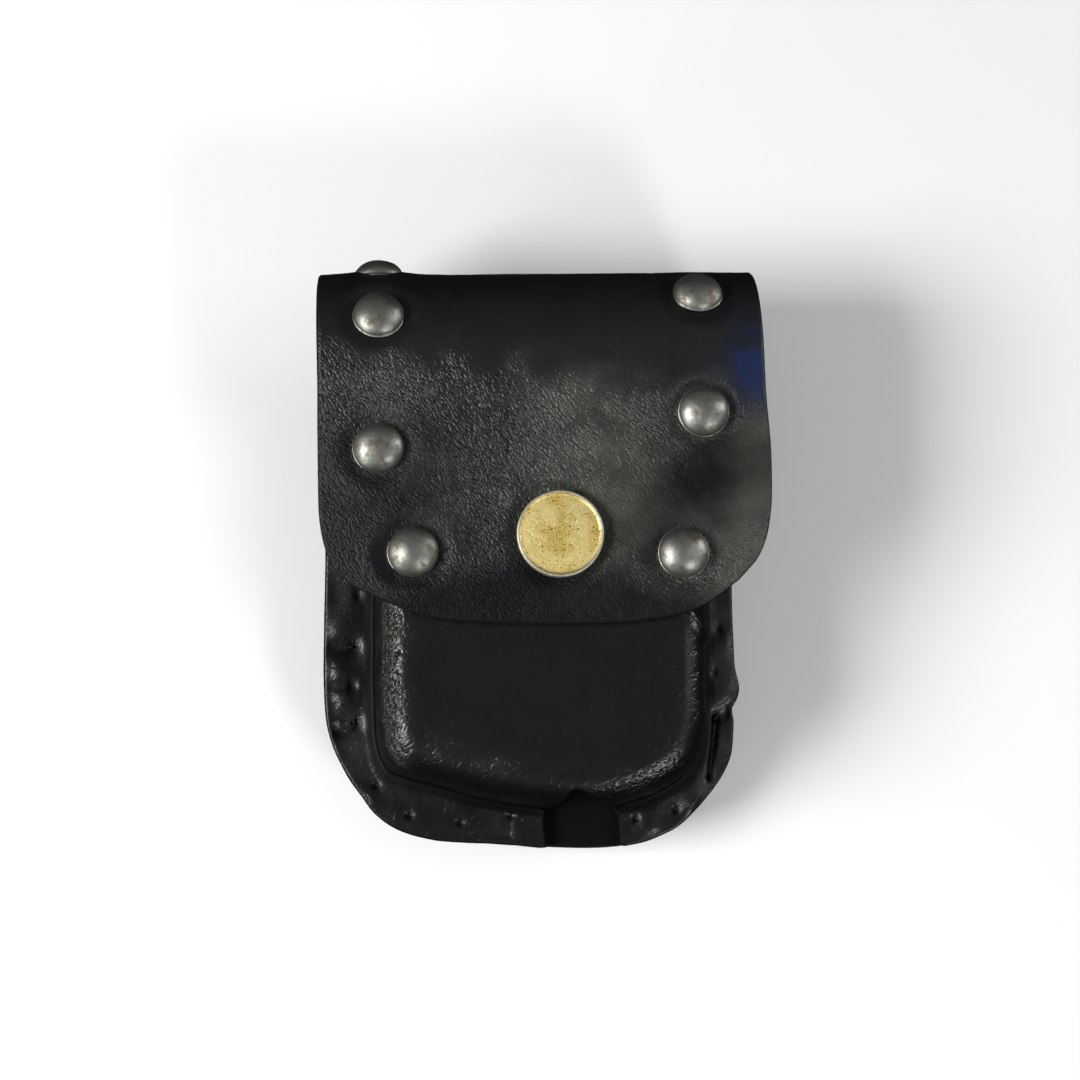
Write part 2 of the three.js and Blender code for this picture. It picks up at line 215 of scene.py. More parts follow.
def leather_wall(outer: Array, inner: Array, marks: dict[str, Array], loop: Array,
                 turned_over: bool = False, round_edge: float = 0.5, rings: int = 4) -> Skin:
    """Closes two matching grids into one wall with a rounded cut edge.

    The edge is half an ellipse from the outer to the inner skin: middle + half the
    thickness times cos(angle), and round_edge times sin(angle) outwards. Outwards is
    square to both the edge and the thickness.

    Args:
        outer: grid of the grain side.
        inner: the same grid on the flesh side.
        marks: values on the grid to keep as mesh attributes.
        loop: rows and columns of the grid's edge, in order.
        turned_over: whether the grid's own normals point into the leather.
        round_edge: how far the edge bulges, in millimetres.
        rings: rows of faces round the edge.

    Returns:
        The wall, with the marks "flesh" (1 on the flesh side) and "cut" (1 on the edge).
    """
    rows, columns = outer.shape[:2]
    count = rows * columns
    skin = grid_faces(rows, columns)
    place = loop[:, 0] * columns + loop[:, 1]
    angles = np.linspace(0, math.pi, rings + 1)[1:-1]
    outer_edge, inner_edge = outer[loop[:, 0], loop[:, 1]], inner[loop[:, 0], loop[:, 1]]
    middle, half = (outer_edge + inner_edge) / 2, (outer_edge - inner_edge) / 2
    along = np.roll(outer_edge, -1, axis=0) - np.roll(outer_edge, 1, axis=0)
    outward = unit(np.cross(along, half)) * (-1 if turned_over else 1)
    rims = [middle + math.cos(a) * half + round_edge * math.sin(a) * outward for a in angles]
    rails = [place] + [2 * count + k * len(loop) + np.arange(len(loop)) for k in range(len(rims))]
    rails.append(count + place)
    strips = []
    for near, far in zip(rails[:-1], rails[1:]):
        strips.append(np.stack([np.roll(near, -1), near, far, np.roll(far, -1)], 1))
    edge_count = len(rims) * len(loop)
    kept = {
        name: np.concatenate([value.ravel()] * 2 + [value[loop[:, 0], loop[:, 1]]] * len(rims))
        for name, value in marks.items()
    }
    kept["flesh"] = np.concatenate([np.zeros(count), np.ones(count), np.full(edge_count, 0.5)])
    kept["cut"] = np.concatenate([np.zeros(2 * count), np.ones(edge_count)])
    points = np.concatenate([outer.reshape(-1, 3), inner.reshape(-1, 3), *rims])
    faces = np.concatenate([skin, skin[:, ::-1] + count, *strips])
    return Skin(points, faces[:, ::-1] if turned_over else faces, kept)


def tube_faces(rings: int, sides: int) -> Array:
    """Four-cornered faces between rings of corners that follow one another."""
    ring = np.arange(sides)
    start = sides * np.arange(rings - 1)[:, None]
    near, far = start + ring, start + np.roll(ring, -1)
    return np.stack([near, far, far + sides, near + sides], -1).reshape(-1, 4)


def turned(profile: Points, sides: int) -> Skin:
    """Turned piece: a profile of radius and height carried round +Z, closed on the axis.

    Args:
        profile: radius and height pairs from the axis underneath to the axis on top.
        sides: steps round the axis.

    Returns:
        The piece, standing on the drawing's origin.
    """
    line = np.asarray(profile, float)
    angle = np.linspace(0, 2 * math.pi, sides, endpoint=False)
    radius, height = line[:, :1], line[:, 1:]
    points = np.stack([radius * np.cos(angle), radius * np.sin(angle), height + 0 * angle], -1)
    return Skin(points.reshape(-1, 3), tube_faces(len(line), sides))


def swept(path: Array, radius: Array, sides: int = 8) -> Skin:
    """Round cord along a path, its two ends open until weld closes them.

    Each ring lies square to the path: point + radius (cos(angle) side + sin(angle) up).

    Args:
        path: points along the middle of the cord.
        radius: its radius at each point.
        sides: corners of its section.

    Returns:
        The cord.
    """
    along = unit(np.gradient(path, axis=0))
    side = unit(np.cross(along, UNALIGNED))
    up = np.cross(side, along)
    angle = np.linspace(0, 2 * math.pi, sides, endpoint=False)
    offset = np.cos(angle)[None, :, None] * side[:, None] + np.sin(angle)[None, :, None] * up[:, None]
    rings = path[:, None] + radius[:, None, None] * offset
    return Skin(rings.reshape(-1, 3), tube_faces(len(path), sides))


def stood(points: Array, seat: tuple[Array, Array]) -> Array:
    """Points of an upright fitting, moved on to a seat and turned to stand along its normal."""
    place, normal = seat
    side = unit(np.cross(UP_THE_POUCH, normal))
    up = np.cross(normal, side)
    return place + points[:, :1] * side + points[:, 1:2] * up + points[:, 2:] * normal


def joined(skins: Sequence[Skin]) -> Skin:
    """Several skins as one."""
    starts = np.cumsum([0] + [len(s.points) for s in skins[:-1]])
    faces = np.concatenate([s.faces + start for s, start in zip(skins, starts)])
    return Skin(np.concatenate([s.points for s in skins]), faces)


@dataclass(frozen=True)
class Drawing:
    """Where the pouch's own drawing, in millimetres, lies in the frame, in metres."""

    snap_x: float = 2.9
    snap_y: float = 4.3

    @property
    def origin(self) -> Array:
        """The drawing's origin in the frame, found from the snap cap."""
        low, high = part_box("snap_cap")
        middle = (np.array(low) + np.array(high)) / 2
        return np.array([middle[0] - self.snap_x * MM, middle[1] - self.snap_y * MM, 0.0])

    def place(self, points: Array) -> Array:
        """Drawing millimetres as frame metres."""
        return points * MM + self.origin


DRAWING = Drawing()


def make_object(name: str, skin: Skin, material: bpy.types.Material) -> bpy.types.Object:
    """Puts a skin into a smooth-shaded mesh object at the origin and gives it a material.

    Args:
        name: the object's name.
        skin: its shape.
        material: its finish.

    Returns:
        The object.
    """
    mesh = bpy.data.meshes.new(name)
    mesh.vertices.add(len(skin.points))
    mesh.vertices.foreach_set("co", DRAWING.place(skin.points).ravel())
    mesh.loops.add(skin.faces.size)
    mesh.loops.foreach_set("vertex_index", skin.faces.ravel())
    mesh.polygons.add(len(skin.faces))
    mesh.polygons.foreach_set("loop_start", np.arange(0, skin.faces.size, 4))
    mesh.update(calc_edges=True)
    for mark, values in skin.marks.items():
        attribute = mesh.attributes.new(mark, "FLOAT", "POINT")
        attribute.data.foreach_set("value", values.astype(np.float32))
    weld(mesh)
    mesh.materials.append(material)
    made = bpy.data.objects.new(name, mesh)
    bpy.context.scene.collection.objects.link(made)
    return made


def weld(mesh: bpy.types.Mesh) -> None:
    """Merges corners that meet at poles, closes the open ends of cords and smooths the shading."""
    edited = bmesh.new()
    edited.from_mesh(mesh)
    bmesh.ops.remove_doubles(edited, verts=edited.verts, dist=SAME_PLACE)
    open_edges = [e for e in edited.edges if e.is_boundary]
    if open_edges:
        bmesh.ops.holes_fill(edited, edges=open_edges, sides=0)
    edited.to_mesh(mesh)
    edited.free()
    mesh.polygons.foreach_set("use_smooth", np.ones(len(mesh.polygons), bool))
    mesh.update()


def fit_out(piece: bpy.types.Object, nodes: Sequence[str] = ()) -> bpy.types.Object:
    """Rides a piece on the pouch and reports it.

    Args:
        piece: the finished object.
        nodes: the frame nodes that it stands for, none for a piece that only adds.

    Returns:
        The same object.
    """
    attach(piece, BODY)
    if nodes:
        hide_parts(*nodes)
    log.info("%s: %d faces, stands for %s", piece.name, len(piece.data.polygons), list(nodes) or "nothing")
    return piece


# ---- finishes --------------------------------------------------------------------------


def linear(colour: str) -> tuple[float, float, float, float]:
    """An sRGB hex colour as linear red, green, blue and full alpha."""
    parts = [int(colour[k:k + 2], 16) / 255 for k in (1, 3, 5)]
    return (*[c / 12.92 if c <= 0.04045 else ((c + 0.055) / 1.055) ** 2.4 for c in parts], 1.0)


def add(tree: bpy.types.NodeTree, kind: str, inputs: Optional[dict] = None, **settings) -> bpy.types.Node:
    """Adds a node with its settings, socket values and links.

    Args:
        tree: the material's node tree.
        kind: the node's type.
        inputs: a value or another node's output for each named or numbered input.
        **settings: properties of the node.

    Returns:
        The node.
    """
    made = tree.nodes.new(kind)
    for name, value in settings.items():
        setattr(made, name, value)
    for name, value in (inputs or {}).items():
        if isinstance(value, bpy.types.NodeSocket):
            tree.links.new(value, made.inputs[name])
        else:
            made.inputs[name].default_value = value
    return made


class Recipe:
    """A material in the making: its node tree, and the kinds of node that finishes use."""

    def __init__(self, name: str) -> None:
        """Starts an empty material and finds its object coordinates."""
        self.material = bpy.data.materials.new(name)
        self.material.use_nodes = True
        self.tree = self.material.node_tree
        self.tree.nodes.clear()
        self.place = add(self.tree, "ShaderNodeTexCoord").outputs["Object"]

    def mark(self, name: str) -> Socket:
        """A value that the mesh carries on its corners."""
        return add(self.tree, "ShaderNodeAttribute", attribute_name=name).outputs["Fac"]

    def noise(self, size: float, detail: float, roughness: float = 0.5) -> Socket:
        """Cloudy noise, its size in millimetres."""
        return add(self.tree, "ShaderNodeTexNoise", {
            "Vector": self.place, "Scale": 1 / (size * MM), "Detail": detail, "Roughness": roughness,
        }).outputs["Fac"]

    def calc(self, operation: str, *values: Value, clamp: bool = False) -> Socket:
        """One arithmetic step on numbers and sockets."""
        inputs = dict(enumerate(values))
        return add(self.tree, "ShaderNodeMath", inputs, operation=operation, use_clamp=clamp).outputs[0]

    def ranged(self, value: Socket, start: float, end: float, low: float = 0.0, high: float = 1.0) -> Socket:
        """Carries the range from low to high over to start to end, and holds what lies beyond it."""
        return add(self.tree, "ShaderNodeMapRange", {
            "Value": value, "From Min": low, "From Max": high, "To Min": start, "To Max": end,
        }).outputs[0]

    def tinted(self, mask: Socket, under: Paint, over: Paint) -> Socket:
        """Goes from one colour to another with a mask."""
        under, over = (linear(paint) if isinstance(paint, str) else paint for paint in (under, over))
        return add(self.tree, "ShaderNodeMix", {0: mask, 6: under, 7: over}, data_type="RGBA").outputs[2]

    def bumped(self, height: Socket, depth: float) -> Socket:
        """Normals of a fine relief, its depth in millimetres."""
        return add(self.tree, "ShaderNodeBump", {
            "Height": height, "Strength": 1.0, "Distance": depth * MM,
        }).outputs[0]

    def finished(self, inputs: dict) -> bpy.types.Material:
        """Joins the surface's colour, roughness and relief to the output."""
        shader = add(self.tree, "ShaderNodeBsdfPrincipled", inputs)
        add(self.tree, "ShaderNodeOutputMaterial", {"Surface": shader.outputs[0]})
        return self.material


@dataclass(frozen=True)
class DyedLeather:
    """Vegetable-tanned cowhide, dyed black through and waxed.

    It gives a near-black face with a soft sheen, fine creased grain that catches the light
    in short streaks, and browner, drier cut edges and flesh side. Its grey-brown tint is
    wear together with painted sheen and highlights, and its flesh side is darkened as
    painted shade.
    """

    name: str = "waxed_black_cowhide"
    dye: str = "#090a0d"
    # grey-brown of wear, also used to paint sheen and highlights
    rubbed_and_sheen: str = "#3e3d36"
    cut_edge: str = "#140f0c"
    # flesh side's own dark tone, darkened further to near black as painted shade inside the thumb notch
    flesh_side_and_shade: str = "#0b0a09"
    # deep blue of a darker, smoother patch near the flap's right edge
    blue_patch: str = "#0a1a40"
    rough_polished: float = 0.37
    rough_grained: float = 0.33
    rough_patches: float = 0.10  # added in patches
    rough_matte: float = 0.15  # added where the wax is gone
    rough_flesh: float = 0.3  # added on the flesh side
    crease_width: float = 0.41  # mm across a grain pebble
    crease_length: float = 0.72  # mm along it
    crease_turn: float = -50.0  # degrees from +X, seen from the front
    crease_depth: float = 0.27  # mm
    crease_power: float = 2.0  # higher for flatter pebbles between narrower valleys
    bend_size: float = 1.7  # mm over which the rows of pebbles wander
    bend: float = 2.0  # how far they wander, in pebbles
    wrinkle_scale: float = 1.6
    wrinkling: float = 0.8
    patch_size: float = 6.0  # mm
    polished_grain: float = 0.12  # share of the grain that polishing leaves
    ior: float = 1.45
    waxed_gloss: float = 0.5
    dry_gloss: float = 0.06

    def grain(self, recipe: Recipe) -> Socket:
        """Height of the grain: drawn-out pebbles with sharp valleys, and finer wrinkles.

        Args:
            recipe: the material in the making.

        Returns:
            The height, about 0 to 1.
        """
        tree, place = recipe.tree, recipe.place
        turn = -math.radians(self.crease_turn)
        laid = add(tree, "ShaderNodeMapping", {"Vector": place, "Rotation": (0, 0, turn)})
        across, along = 1 / (self.crease_width * MM), 1 / (self.crease_length * MM)
        drawn = add(tree, "ShaderNodeMapping", {"Vector": laid.outputs[0], "Scale": (along, across, across)})
        bend = add(tree, "ShaderNodeTexNoise", {
            "Vector": place, "Scale": 1 / (self.bend_size * MM), "Detail": 1.0,
        })
        bent = add(tree, "ShaderNodeVectorMath", {0: bend.outputs["Color"], 1: (self.bend,) * 3},
                   operation="MULTIPLY")
        wandering = add(tree, "ShaderNodeVectorMath", {0: drawn.outputs[0], 1: bent.outputs[0]},
                        operation="ADD").outputs[0]
        pebbles = add(tree, "ShaderNodeTexVoronoi", {"Vector": wandering, "Scale": 1.0})
        valleys = recipe.calc("POWER", pebbles.outputs["Distance"], self.crease_power)
        wrinkles = add(tree, "ShaderNodeTexNoise", {
            "Vector": wandering, "Scale": self.wrinkle_scale, "Detail": 2.0,
        })
        raised = recipe.calc("MULTIPLY", wrinkles.outputs["Fac"], self.wrinkling)
        return recipe.calc("SUBTRACT", raised, valleys)

    def material(self) -> bpy.types.Material:
        """Builds the leather from its grain, dye, wear and cut edges."""
        recipe = Recipe(self.name)
        flesh, cut, polish = recipe.mark("flesh"), recipe.mark("cut"), recipe.mark("polish")
        wear_and_sheen, blue_patch, matte = recipe.mark("wear_and_sheen"), recipe.mark("blue_patch"), recipe.mark("matte")
        patches = recipe.noise(self.patch_size, 2.0)
        patchy = recipe.ranged(patches, 0.5, 1.2, 0.3, 0.7)
        grained = recipe.calc("MULTIPLY", recipe.ranged(polish, 1.0, self.polished_grain), patchy)
        colour = self.dye
        # the wear-and-sheen mark tints towards the grey-brown: wear, plus painted sheen and highlights
        for mask, tint in ((recipe.calc("MULTIPLY", wear_and_sheen, patchy, clamp=True), self.rubbed_and_sheen),
                           (blue_patch, self.blue_patch), (flesh, self.flesh_side_and_shade), (cut, self.cut_edge)):
            colour = recipe.tinted(mask, colour, tint)
        rough = recipe.ranged(polish, self.rough_grained, self.rough_polished)
        for mask, more in ((patches, self.rough_patches), (matte, self.rough_matte)):
            rough = recipe.calc("MULTIPLY_ADD", mask, more, rough)
        dry = recipe.calc("MAXIMUM", recipe.calc("MAXIMUM", flesh, cut), matte)
        return recipe.finished({
            "Base Color": colour, "IOR": self.ior,
            "Roughness": recipe.calc("MULTIPLY_ADD", flesh, self.rough_flesh, rough, clamp=True),
            "Normal": recipe.bumped(recipe.calc("MULTIPLY", self.grain(recipe), grained), self.crease_depth),
            "Specular IOR Level": recipe.ranged(dry, self.waxed_gloss, self.dry_gloss),
        })


@dataclass(frozen=True)
class DomedSteel:
    """Pressed steel rivet caps, blackened and then bared in places by wear.

    They give dark grey blurred mirrors with small lights, shallow dents and brown spots.
    """

    name: str = "tarnished_steel"
    steel: str = "#868580"
    tarnish: str = "#605c4c"
    rough_low: float = 0.47
    rough_high: float = 0.60
    spot_size: float = 2.2  # mm
    dent_size: float = 1.6  # mm
    dent_depth: float = 0.09  # mm

    def material(self) -> bpy.types.Material:
        """Builds the steel with its tarnish and dents."""
        recipe = Recipe(self.name)
        spots = recipe.ranged(recipe.noise(self.spot_size, 4.0, 0.65), 0.0, 1.0, 0.48, 0.66)
        return recipe.finished({
            "Base Color": recipe.tinted(spots, self.steel, self.tarnish), "Metallic": 1.0,
            "Roughness": recipe.ranged(spots, self.rough_low, self.rough_high),
            "Normal": recipe.bumped(recipe.noise(self.dent_size, 2.0), self.dent_depth),
        })


@dataclass(frozen=True)
class AgedBrass:
    """Pressed brass snap cap, lacquer gone, with small dark pits of corrosion.

    It gives a pale straw-yellow face with fine brown specks inside a whiter bead.
    """

    name: str = "aged_brass"
    brass: str = "#f8e39c"
    bloom: str = "#dfc46e"
    pits: str = "#75602a"
    bead: str = "#b3af97"
    bloom_size: float = 4.0  # mm
    pit_size: float = 0.44  # mm
    pit_depth: float = 0.05  # mm

    def material(self) -> bpy.types.Material:
        """Builds the brass with its bloom and pits."""
        recipe = Recipe(self.name)
        bloom = recipe.ranged(recipe.noise(self.bloom_size, 3.0), 0.0, 1.0, 0.4, 0.62)
        specks = recipe.calc("MULTIPLY_ADD", bloom, 0.05, recipe.noise(self.pit_size, 3.0, 0.6))
        pit = recipe.ranged(specks, 0.0, 1.0, 0.55, 0.70)
        face = recipe.tinted(pit, recipe.tinted(bloom, self.brass, self.bloom), self.pits)
        return recipe.finished({
            "Base Color": recipe.tinted(recipe.mark("bead"), face, self.bead), "Metallic": 1.0,
            "Roughness": recipe.ranged(pit, 0.5, 0.75),
            "Normal": recipe.bumped(recipe.calc("MULTIPLY", pit, -1.0), self.pit_depth),
        })


@dataclass(frozen=True)
class WaxedThread:
    """Black waxed linen thread: dull, with the fine twist of its plies."""

    name: str = "waxed_thread"
    thread: str = "#0f0e0e"
    # darker colour in the low parts of the twist: painted shade
    groove: str = "#070707"
    roughness: float = 0.75
    gloss: float = 0.25
    twist_depth: float = 0.08  # mm

    def material(self) -> bpy.types.Material:
        """Builds the thread with a fine slanting twist."""
        recipe = Recipe(self.name)
        laid = add(recipe.tree, "ShaderNodeMapping", {"Vector": recipe.place, "Rotation": (0.6, 0.4, 0.8)})
        twist = add(recipe.tree, "ShaderNodeTexWave", {
            "Vector": laid.outputs[0], "Scale": 0.5 / MM, "Distortion": 1.5,
        }).outputs["Fac"]
        return recipe.finished({
            "Base Color": recipe.tinted(twist, self.groove, self.thread), "Roughness": self.roughness,
            "Normal": recipe.bumped(twist, self.twist_depth), "Specular IOR Level": self.gloss,
        })


@dataclass(frozen=True)
class MattPaper:
    """Matt pale paper on a table, which gives plain soft light from below."""

    name: str = "pale_paper"
    paper: str = "#e4e4e3"

    def material(self) -> bpy.types.Material:
        """Builds the paper with a faint unevenness."""
        recipe = Recipe(self.name)
        rough = recipe.ranged(recipe.noise(3, 3.0), 0.85, 0.95)
        return recipe.finished({"Base Color": linear(self.paper), "Roughness": rough})


# ---- outlines shared by the pieces -----------------------------------------------------

# Outer edge of the flange, from the mouth down the left side, round the bottom and up.
FLANGE_EDGE = [
    (-37.6, 36), (-37.8, 18), (-38, 0), (-38, -16), (-37.2, -28), (-35, -35), (-31.5, -40.6),
    (-26.5, -45.7), (-19, -48.5), (-9.3, -49.5), (1.8, -50.2), (12, -50.4), (19.5, -49.4),
    (26, -46.8), (31.2, -41.3), (34.8, -36), (36.2, -28), (36.4, -14), (36.2, 0), (36.8, 18),
    (37.2, 36),
]

# Crease where the box wall rises from the flange, at the same stations.
CREASE = [
    (-31, 36), (-31.2, 18), (-31.2, 0), (-31.2, -15), (-31, -26), (-30.3, -33.5),
    (-28.3, -38), (-23.8, -39.9), (-17.5, -41.6), (-9, -43.8), (0.5, -45.2), (9, -45.6),
    (17, -44.6), (24.5, -42), (29.8, -38), (32, -32.5), (32.4, -24), (32.4, -13), (32.4, 0),
    (32.4, 18), (32.2, 36),
]

# Side edges of the flap from the crest of the fold to the middle of its lower corners.
FLAP_LEFT = [(-39, 53.4), (-38.5, 34), (-38.3, 14), (-37.7, 5), (-35.6, -1.2), (-32, -4.4)]
FLAP_RIGHT = [(38, 53.4), (38.6, 34), (39.9, 18), (39.6, 8), (37.8, 1.6), (34, -3)]

# Lower edge of the flap between the middles of its two corners.
FLAP_TIP = [
    (-32, -4.4), (-26, -7.2), (-19, -9.6), (-8, -10.5), (4, -10.6), (17, -10), (27, -7.8), (34, -3),
]

# Stitch holes in the flange, from the left side round the bottom to the right side.
HOLES = [
    (-33.6, 22), (-33.4, 13), (-33, 4), (-32.3, -5.1), (-33.2, -14.3), (-33.4, -21.5), (-32.7, -28.5),
    (-28.8, -39.3), (-22.8, -44.7), (-13.6, -46), (-4.4, -44.8), (18.2, -45.4), (25.6, -43.9),
    (31.9, -38.1), (33.1, -27.3), (33, -18.9), (33.8, -10.8), (34, -2.5), (34.2, 6), (34.3, 14.5),
    (34.4, 23),
]


class Lie(Enum):
    """On which side of the leather a stitch lies between its two holes."""

    FRONT = "front"
    BACK = "back"


@dataclass(frozen=True)
class Levels:
    """Heights of the leather above the surface that the pouch lies on, in millimetres."""

    back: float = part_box("back_flap")[0].z / MM
    flap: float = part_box("back_flap")[1].z / MM
    flange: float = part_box("front_shell")[0].z / MM
    box_top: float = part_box("front_shell")[1].z / MM


LEVELS = Levels()


# ---- back panel, fold and flap ---------------------------------------------------------


@dataclass
class SheetLeather:
    """The back panel, fold and flap: one piece of leather, bent over the top."""

    thickness: float = 2.2
    crest_y: float = 52.5
    back_reach: float = 15.0
    front_reach: float = 17.1
    fold_lean: float = 0.0237  # how much further the fold reaches for each millimetre to the right
    start_y: float = -60.0
    middle_x: float = 0.6
    held: float = 22.0  # half the width that the box holds up
    past_held: float = 16.0  # from there to the flap's side edge
    sink_left: tuple[float, float] = (1.3, 0.7)  # at the side edge, and how much more at the corner
    sink_right: tuple[float, float] = (1.7, 1.3)
    # place and size of that blue patch
    blue_patch_at: tuple[float, float] = (37.0, 33.0)
    blue_patch_size: tuple[float, float] = (3.4, 5.5)
    # Ridge where the flap bends over the hollow of the box: two ends, width and height.
    fold_ridge: tuple = ((2.5, 38), (9.5, 13), 4.2, 0.45)
    rows: int = 300
    columns: int = 150
    panel_rows: int = 80  # rows spent on the plain back panel
    panel_share: float = 0.42  # of the sheet's length, up to where the fold begins

    def __post_init__(self) -> None:
        """Walks the side view once: panel, two quarter ellipses and flap."""
        half = (LEVELS.flap - LEVELS.back) / 2
        middle = (LEVELS.flap + LEVELS.back) / 2
        turn = np.linspace(0, math.pi / 2, 200)
        back_bend = self.crest_y - self.back_reach
        front_bend = self.crest_y - self.front_reach
        y = np.concatenate([[self.start_y], back_bend + self.back_reach * np.sin(turn),
                            front_bend + self.front_reach * np.cos(turn)[1:], [self.start_y]])
        z = np.concatenate([[LEVELS.back], middle - half * np.cos(turn),
                            middle + half * np.sin(turn)[1:], [LEVELS.flap]])
        run = np.concatenate([[0], np.cumsum(np.hypot(np.diff(y), np.diff(z)))])
        self.side_view = run, y, z
        self.crest_run = float(run[len(turn)])
        self.flap_run = float(run[-2])
        self.flap_start = front_bend

    def on_panel(self, point: Sequence[float]) -> tuple[float, float]:
        """A drawing point of the back panel as a place across and along the sheet."""
        return point[0], point[1] - self.start_y

    def on_flap(self, point: Sequence[float]) -> tuple[float, float]:
        """A drawing point of the flap as a place across and along the sheet."""
        return point[0], self.flap_run + self.flap_start - point[1]

    def sink(self, x: Array, run: Array) -> Array:
        """How far the flap sinks where nothing is under it: its sides, and most its corners."""
        settled = step(run, self.flap_run - 4, self.flap_run + 24)
        past = np.maximum(0, np.abs(x - self.middle_x) - self.held) / self.past_held
        tip = step(run, self.flap_run + 26, self.flap_run + 44)
        left, right = (side + corner * tip for side, corner in (self.sink_left, self.sink_right))
        return settled * np.where(x > 0, right, left) * past**2

    def surface(self, x: Array, run: Array) -> Array:
        """Outer face at places across and along the sheet: the side view, less the sink."""
        y, z = (np.interp(run, self.side_view[0], line) for line in self.side_view[1:])
        bent = np.clip((y - self.flap_start) / self.front_reach, 0, 1)
        lean = self.fold_lean * (x - self.middle_x) * bent
        return np.stack([x, y + lean, z - self.sink(x, run)], -1)

    def seat(self, x: float, run: float) -> tuple[Array, Array]:
        """Place and outward normal of a fitting, from the face a millimetre to each side."""
        here, left, right, before, after = self.surface(np.array([x, x - 1, x + 1, x, x]),
                                                        np.array([run, run, run, run - 1, run + 1]))
        return here, unit(np.cross(after - before, right - left))

    def outline_grid(self) -> Array:
        """Places across and along the sheet that fill its outline between four sides.

        Each place is the blend of the left and right sides plus the blend of the two
        ends, less the blend of the four corners (a Coons patch).

        Returns:
            The places, in rows from the panel's lower end to the flap's tip.
        """
        half = next(k for k, p in enumerate(FLANGE_EDGE) if p[0] > -30)
        far = len(FLANGE_EDGE) - 1 - half
        left = [self.on_panel(p) for p in reversed(FLANGE_EDGE[:half + 1])]
        left += [(FLAP_LEFT[0][0], self.crest_run)] + [self.on_flap(p) for p in FLAP_LEFT[1:]]
        right = [self.on_panel(p) for p in FLANGE_EDGE[far:]]
        right += [(FLAP_RIGHT[0][0], self.crest_run)] + [self.on_flap(p) for p in FLAP_RIGHT[1:]]
        bottom = [self.on_panel(p) for p in FLANGE_EDGE[half:far + 1]]
        tip = [self.on_flap(p) for p in FLAP_TIP]
        rows = np.interp(np.arange(self.rows), [0, self.panel_rows, self.rows - 1],
                         [0, self.panel_share, 1])
        columns = np.linspace(0, 1, self.columns)
        side_l, side_r = spaced(left, rows), spaced(right, rows)
        end_b, end_t = spaced(bottom, columns), spaced(tip, columns)
        s, t = columns[None, :, None], rows[:, None, None]
        across = side_l[:, None] * (1 - s) + side_r[:, None] * s
        along = end_b[None] * (1 - t) + end_t[None] * t
        low = end_b[0] * (1 - s) + end_b[-1] * s
        high = end_t[0] * (1 - s) + end_t[-1] * s
        return across + along - (low * (1 - t) + high * t)

    def patch(self, x: Array, run: Array, start: Sequence[float], end: Sequence[float],
              width: float) -> Array:
        """Bell-shaped patch along a line drawn on the flap."""
        return hill(to_segment(x, run, self.on_flap(start), self.on_flap(end)), width)

    def relief(self, x: Array, run: Array, seats: Sequence[tuple[float, float]],
               snap: tuple[float, float]) -> tuple[Array, Array]:
        """Dents and ridges of the flap's face, in millimetres outwards.

        Args:
            x: places across the sheet.
            run: places along it.
            seats: where the rivets sit.
            snap: where the snap sits.

        Returns:
            The whole skin's gentle waves, and the dents of the grain side alone.
        """
        front = step(run, self.crest_run - 8, self.crest_run + 6)
        *line, width, height = self.fold_ridge
        waves = 0.22 * (1 + cloud(x, run, 15, 3)) + 0.08 * cloud(x, run, 6, 4)
        waves = waves + height * self.patch(x, run, *line, width)
        dents = 0.035 * cloud(x + 0.6 * run, run - 0.4 * x, 1.3, 8) * front
        for place in seats:
            r = np.hypot(x - place[0], run - place[1])
            if self.past_crest(place[1]):
                dents = dents - 0.5 * hill(np.maximum(r - 4.9, 0), 1.3) + 0.16 * hill(r - 7.6, 1.6)
            else:
                dents = dents + 0.8 * hill(r, 6.4)
        r = np.hypot(x - snap[0], run - snap[1])
        dents = dents - 0.5 * hill(np.maximum(r - 7.5, 0), 1.3) + 0.12 * hill(r - 10.6, 1.8)
        return waves * front, dents

    def past_crest(self, run: float) -> bool:
        """Whether a fitting sits clear of the crest, on leather that can dent."""
        return run > self.crest_run + 6

    def marks(self, x: Array, run: Array) -> dict[str, Array]:
        """Where the sheet is polished, grey with wear and painted sheen, blue-patched and dull.

        Args:
            x: places across the sheet.
            run: places along it.

        Returns:
            Values from 0 to 1 for the leather's marks.
        """
        crest, flap = self.crest_run, self.flap_run
        grained = step(run + 3 * cloud(x, run, 5, 11) - 0.09 * (x + 34), crest + 19, crest + 30)
        panel = 1 - step(run, crest - 30, crest - 12)
        blue_patch_x, blue_patch_run = self.on_flap(self.blue_patch_at)
        blotch = hill(x - blue_patch_x, self.blue_patch_size[0]) * hill(run - blue_patch_run, self.blue_patch_size[1])
        blue_patch = np.clip(1.6 * blotch * (0.75 + 0.6 * cloud(x, run, 2.2, 12)), 0, 0.95)
        ridge = self.patch(x, run, (3, 36), (12, 10), 9)
        side = self.patch(x, run, (-30, 26), (-18, -2), 10)
        dull = self.patch(x, run, (18, 6), (34, 18), 9)
        right = step(x, -6, 22) + 0.9 * step(x, 26, 36)
        tip = step(run - 0.25 * np.abs(x), flap + 30, flap + 38)
        lower_left = (1 - step(x, -24, -6)) * step(run, flap + 4, flap + 20)
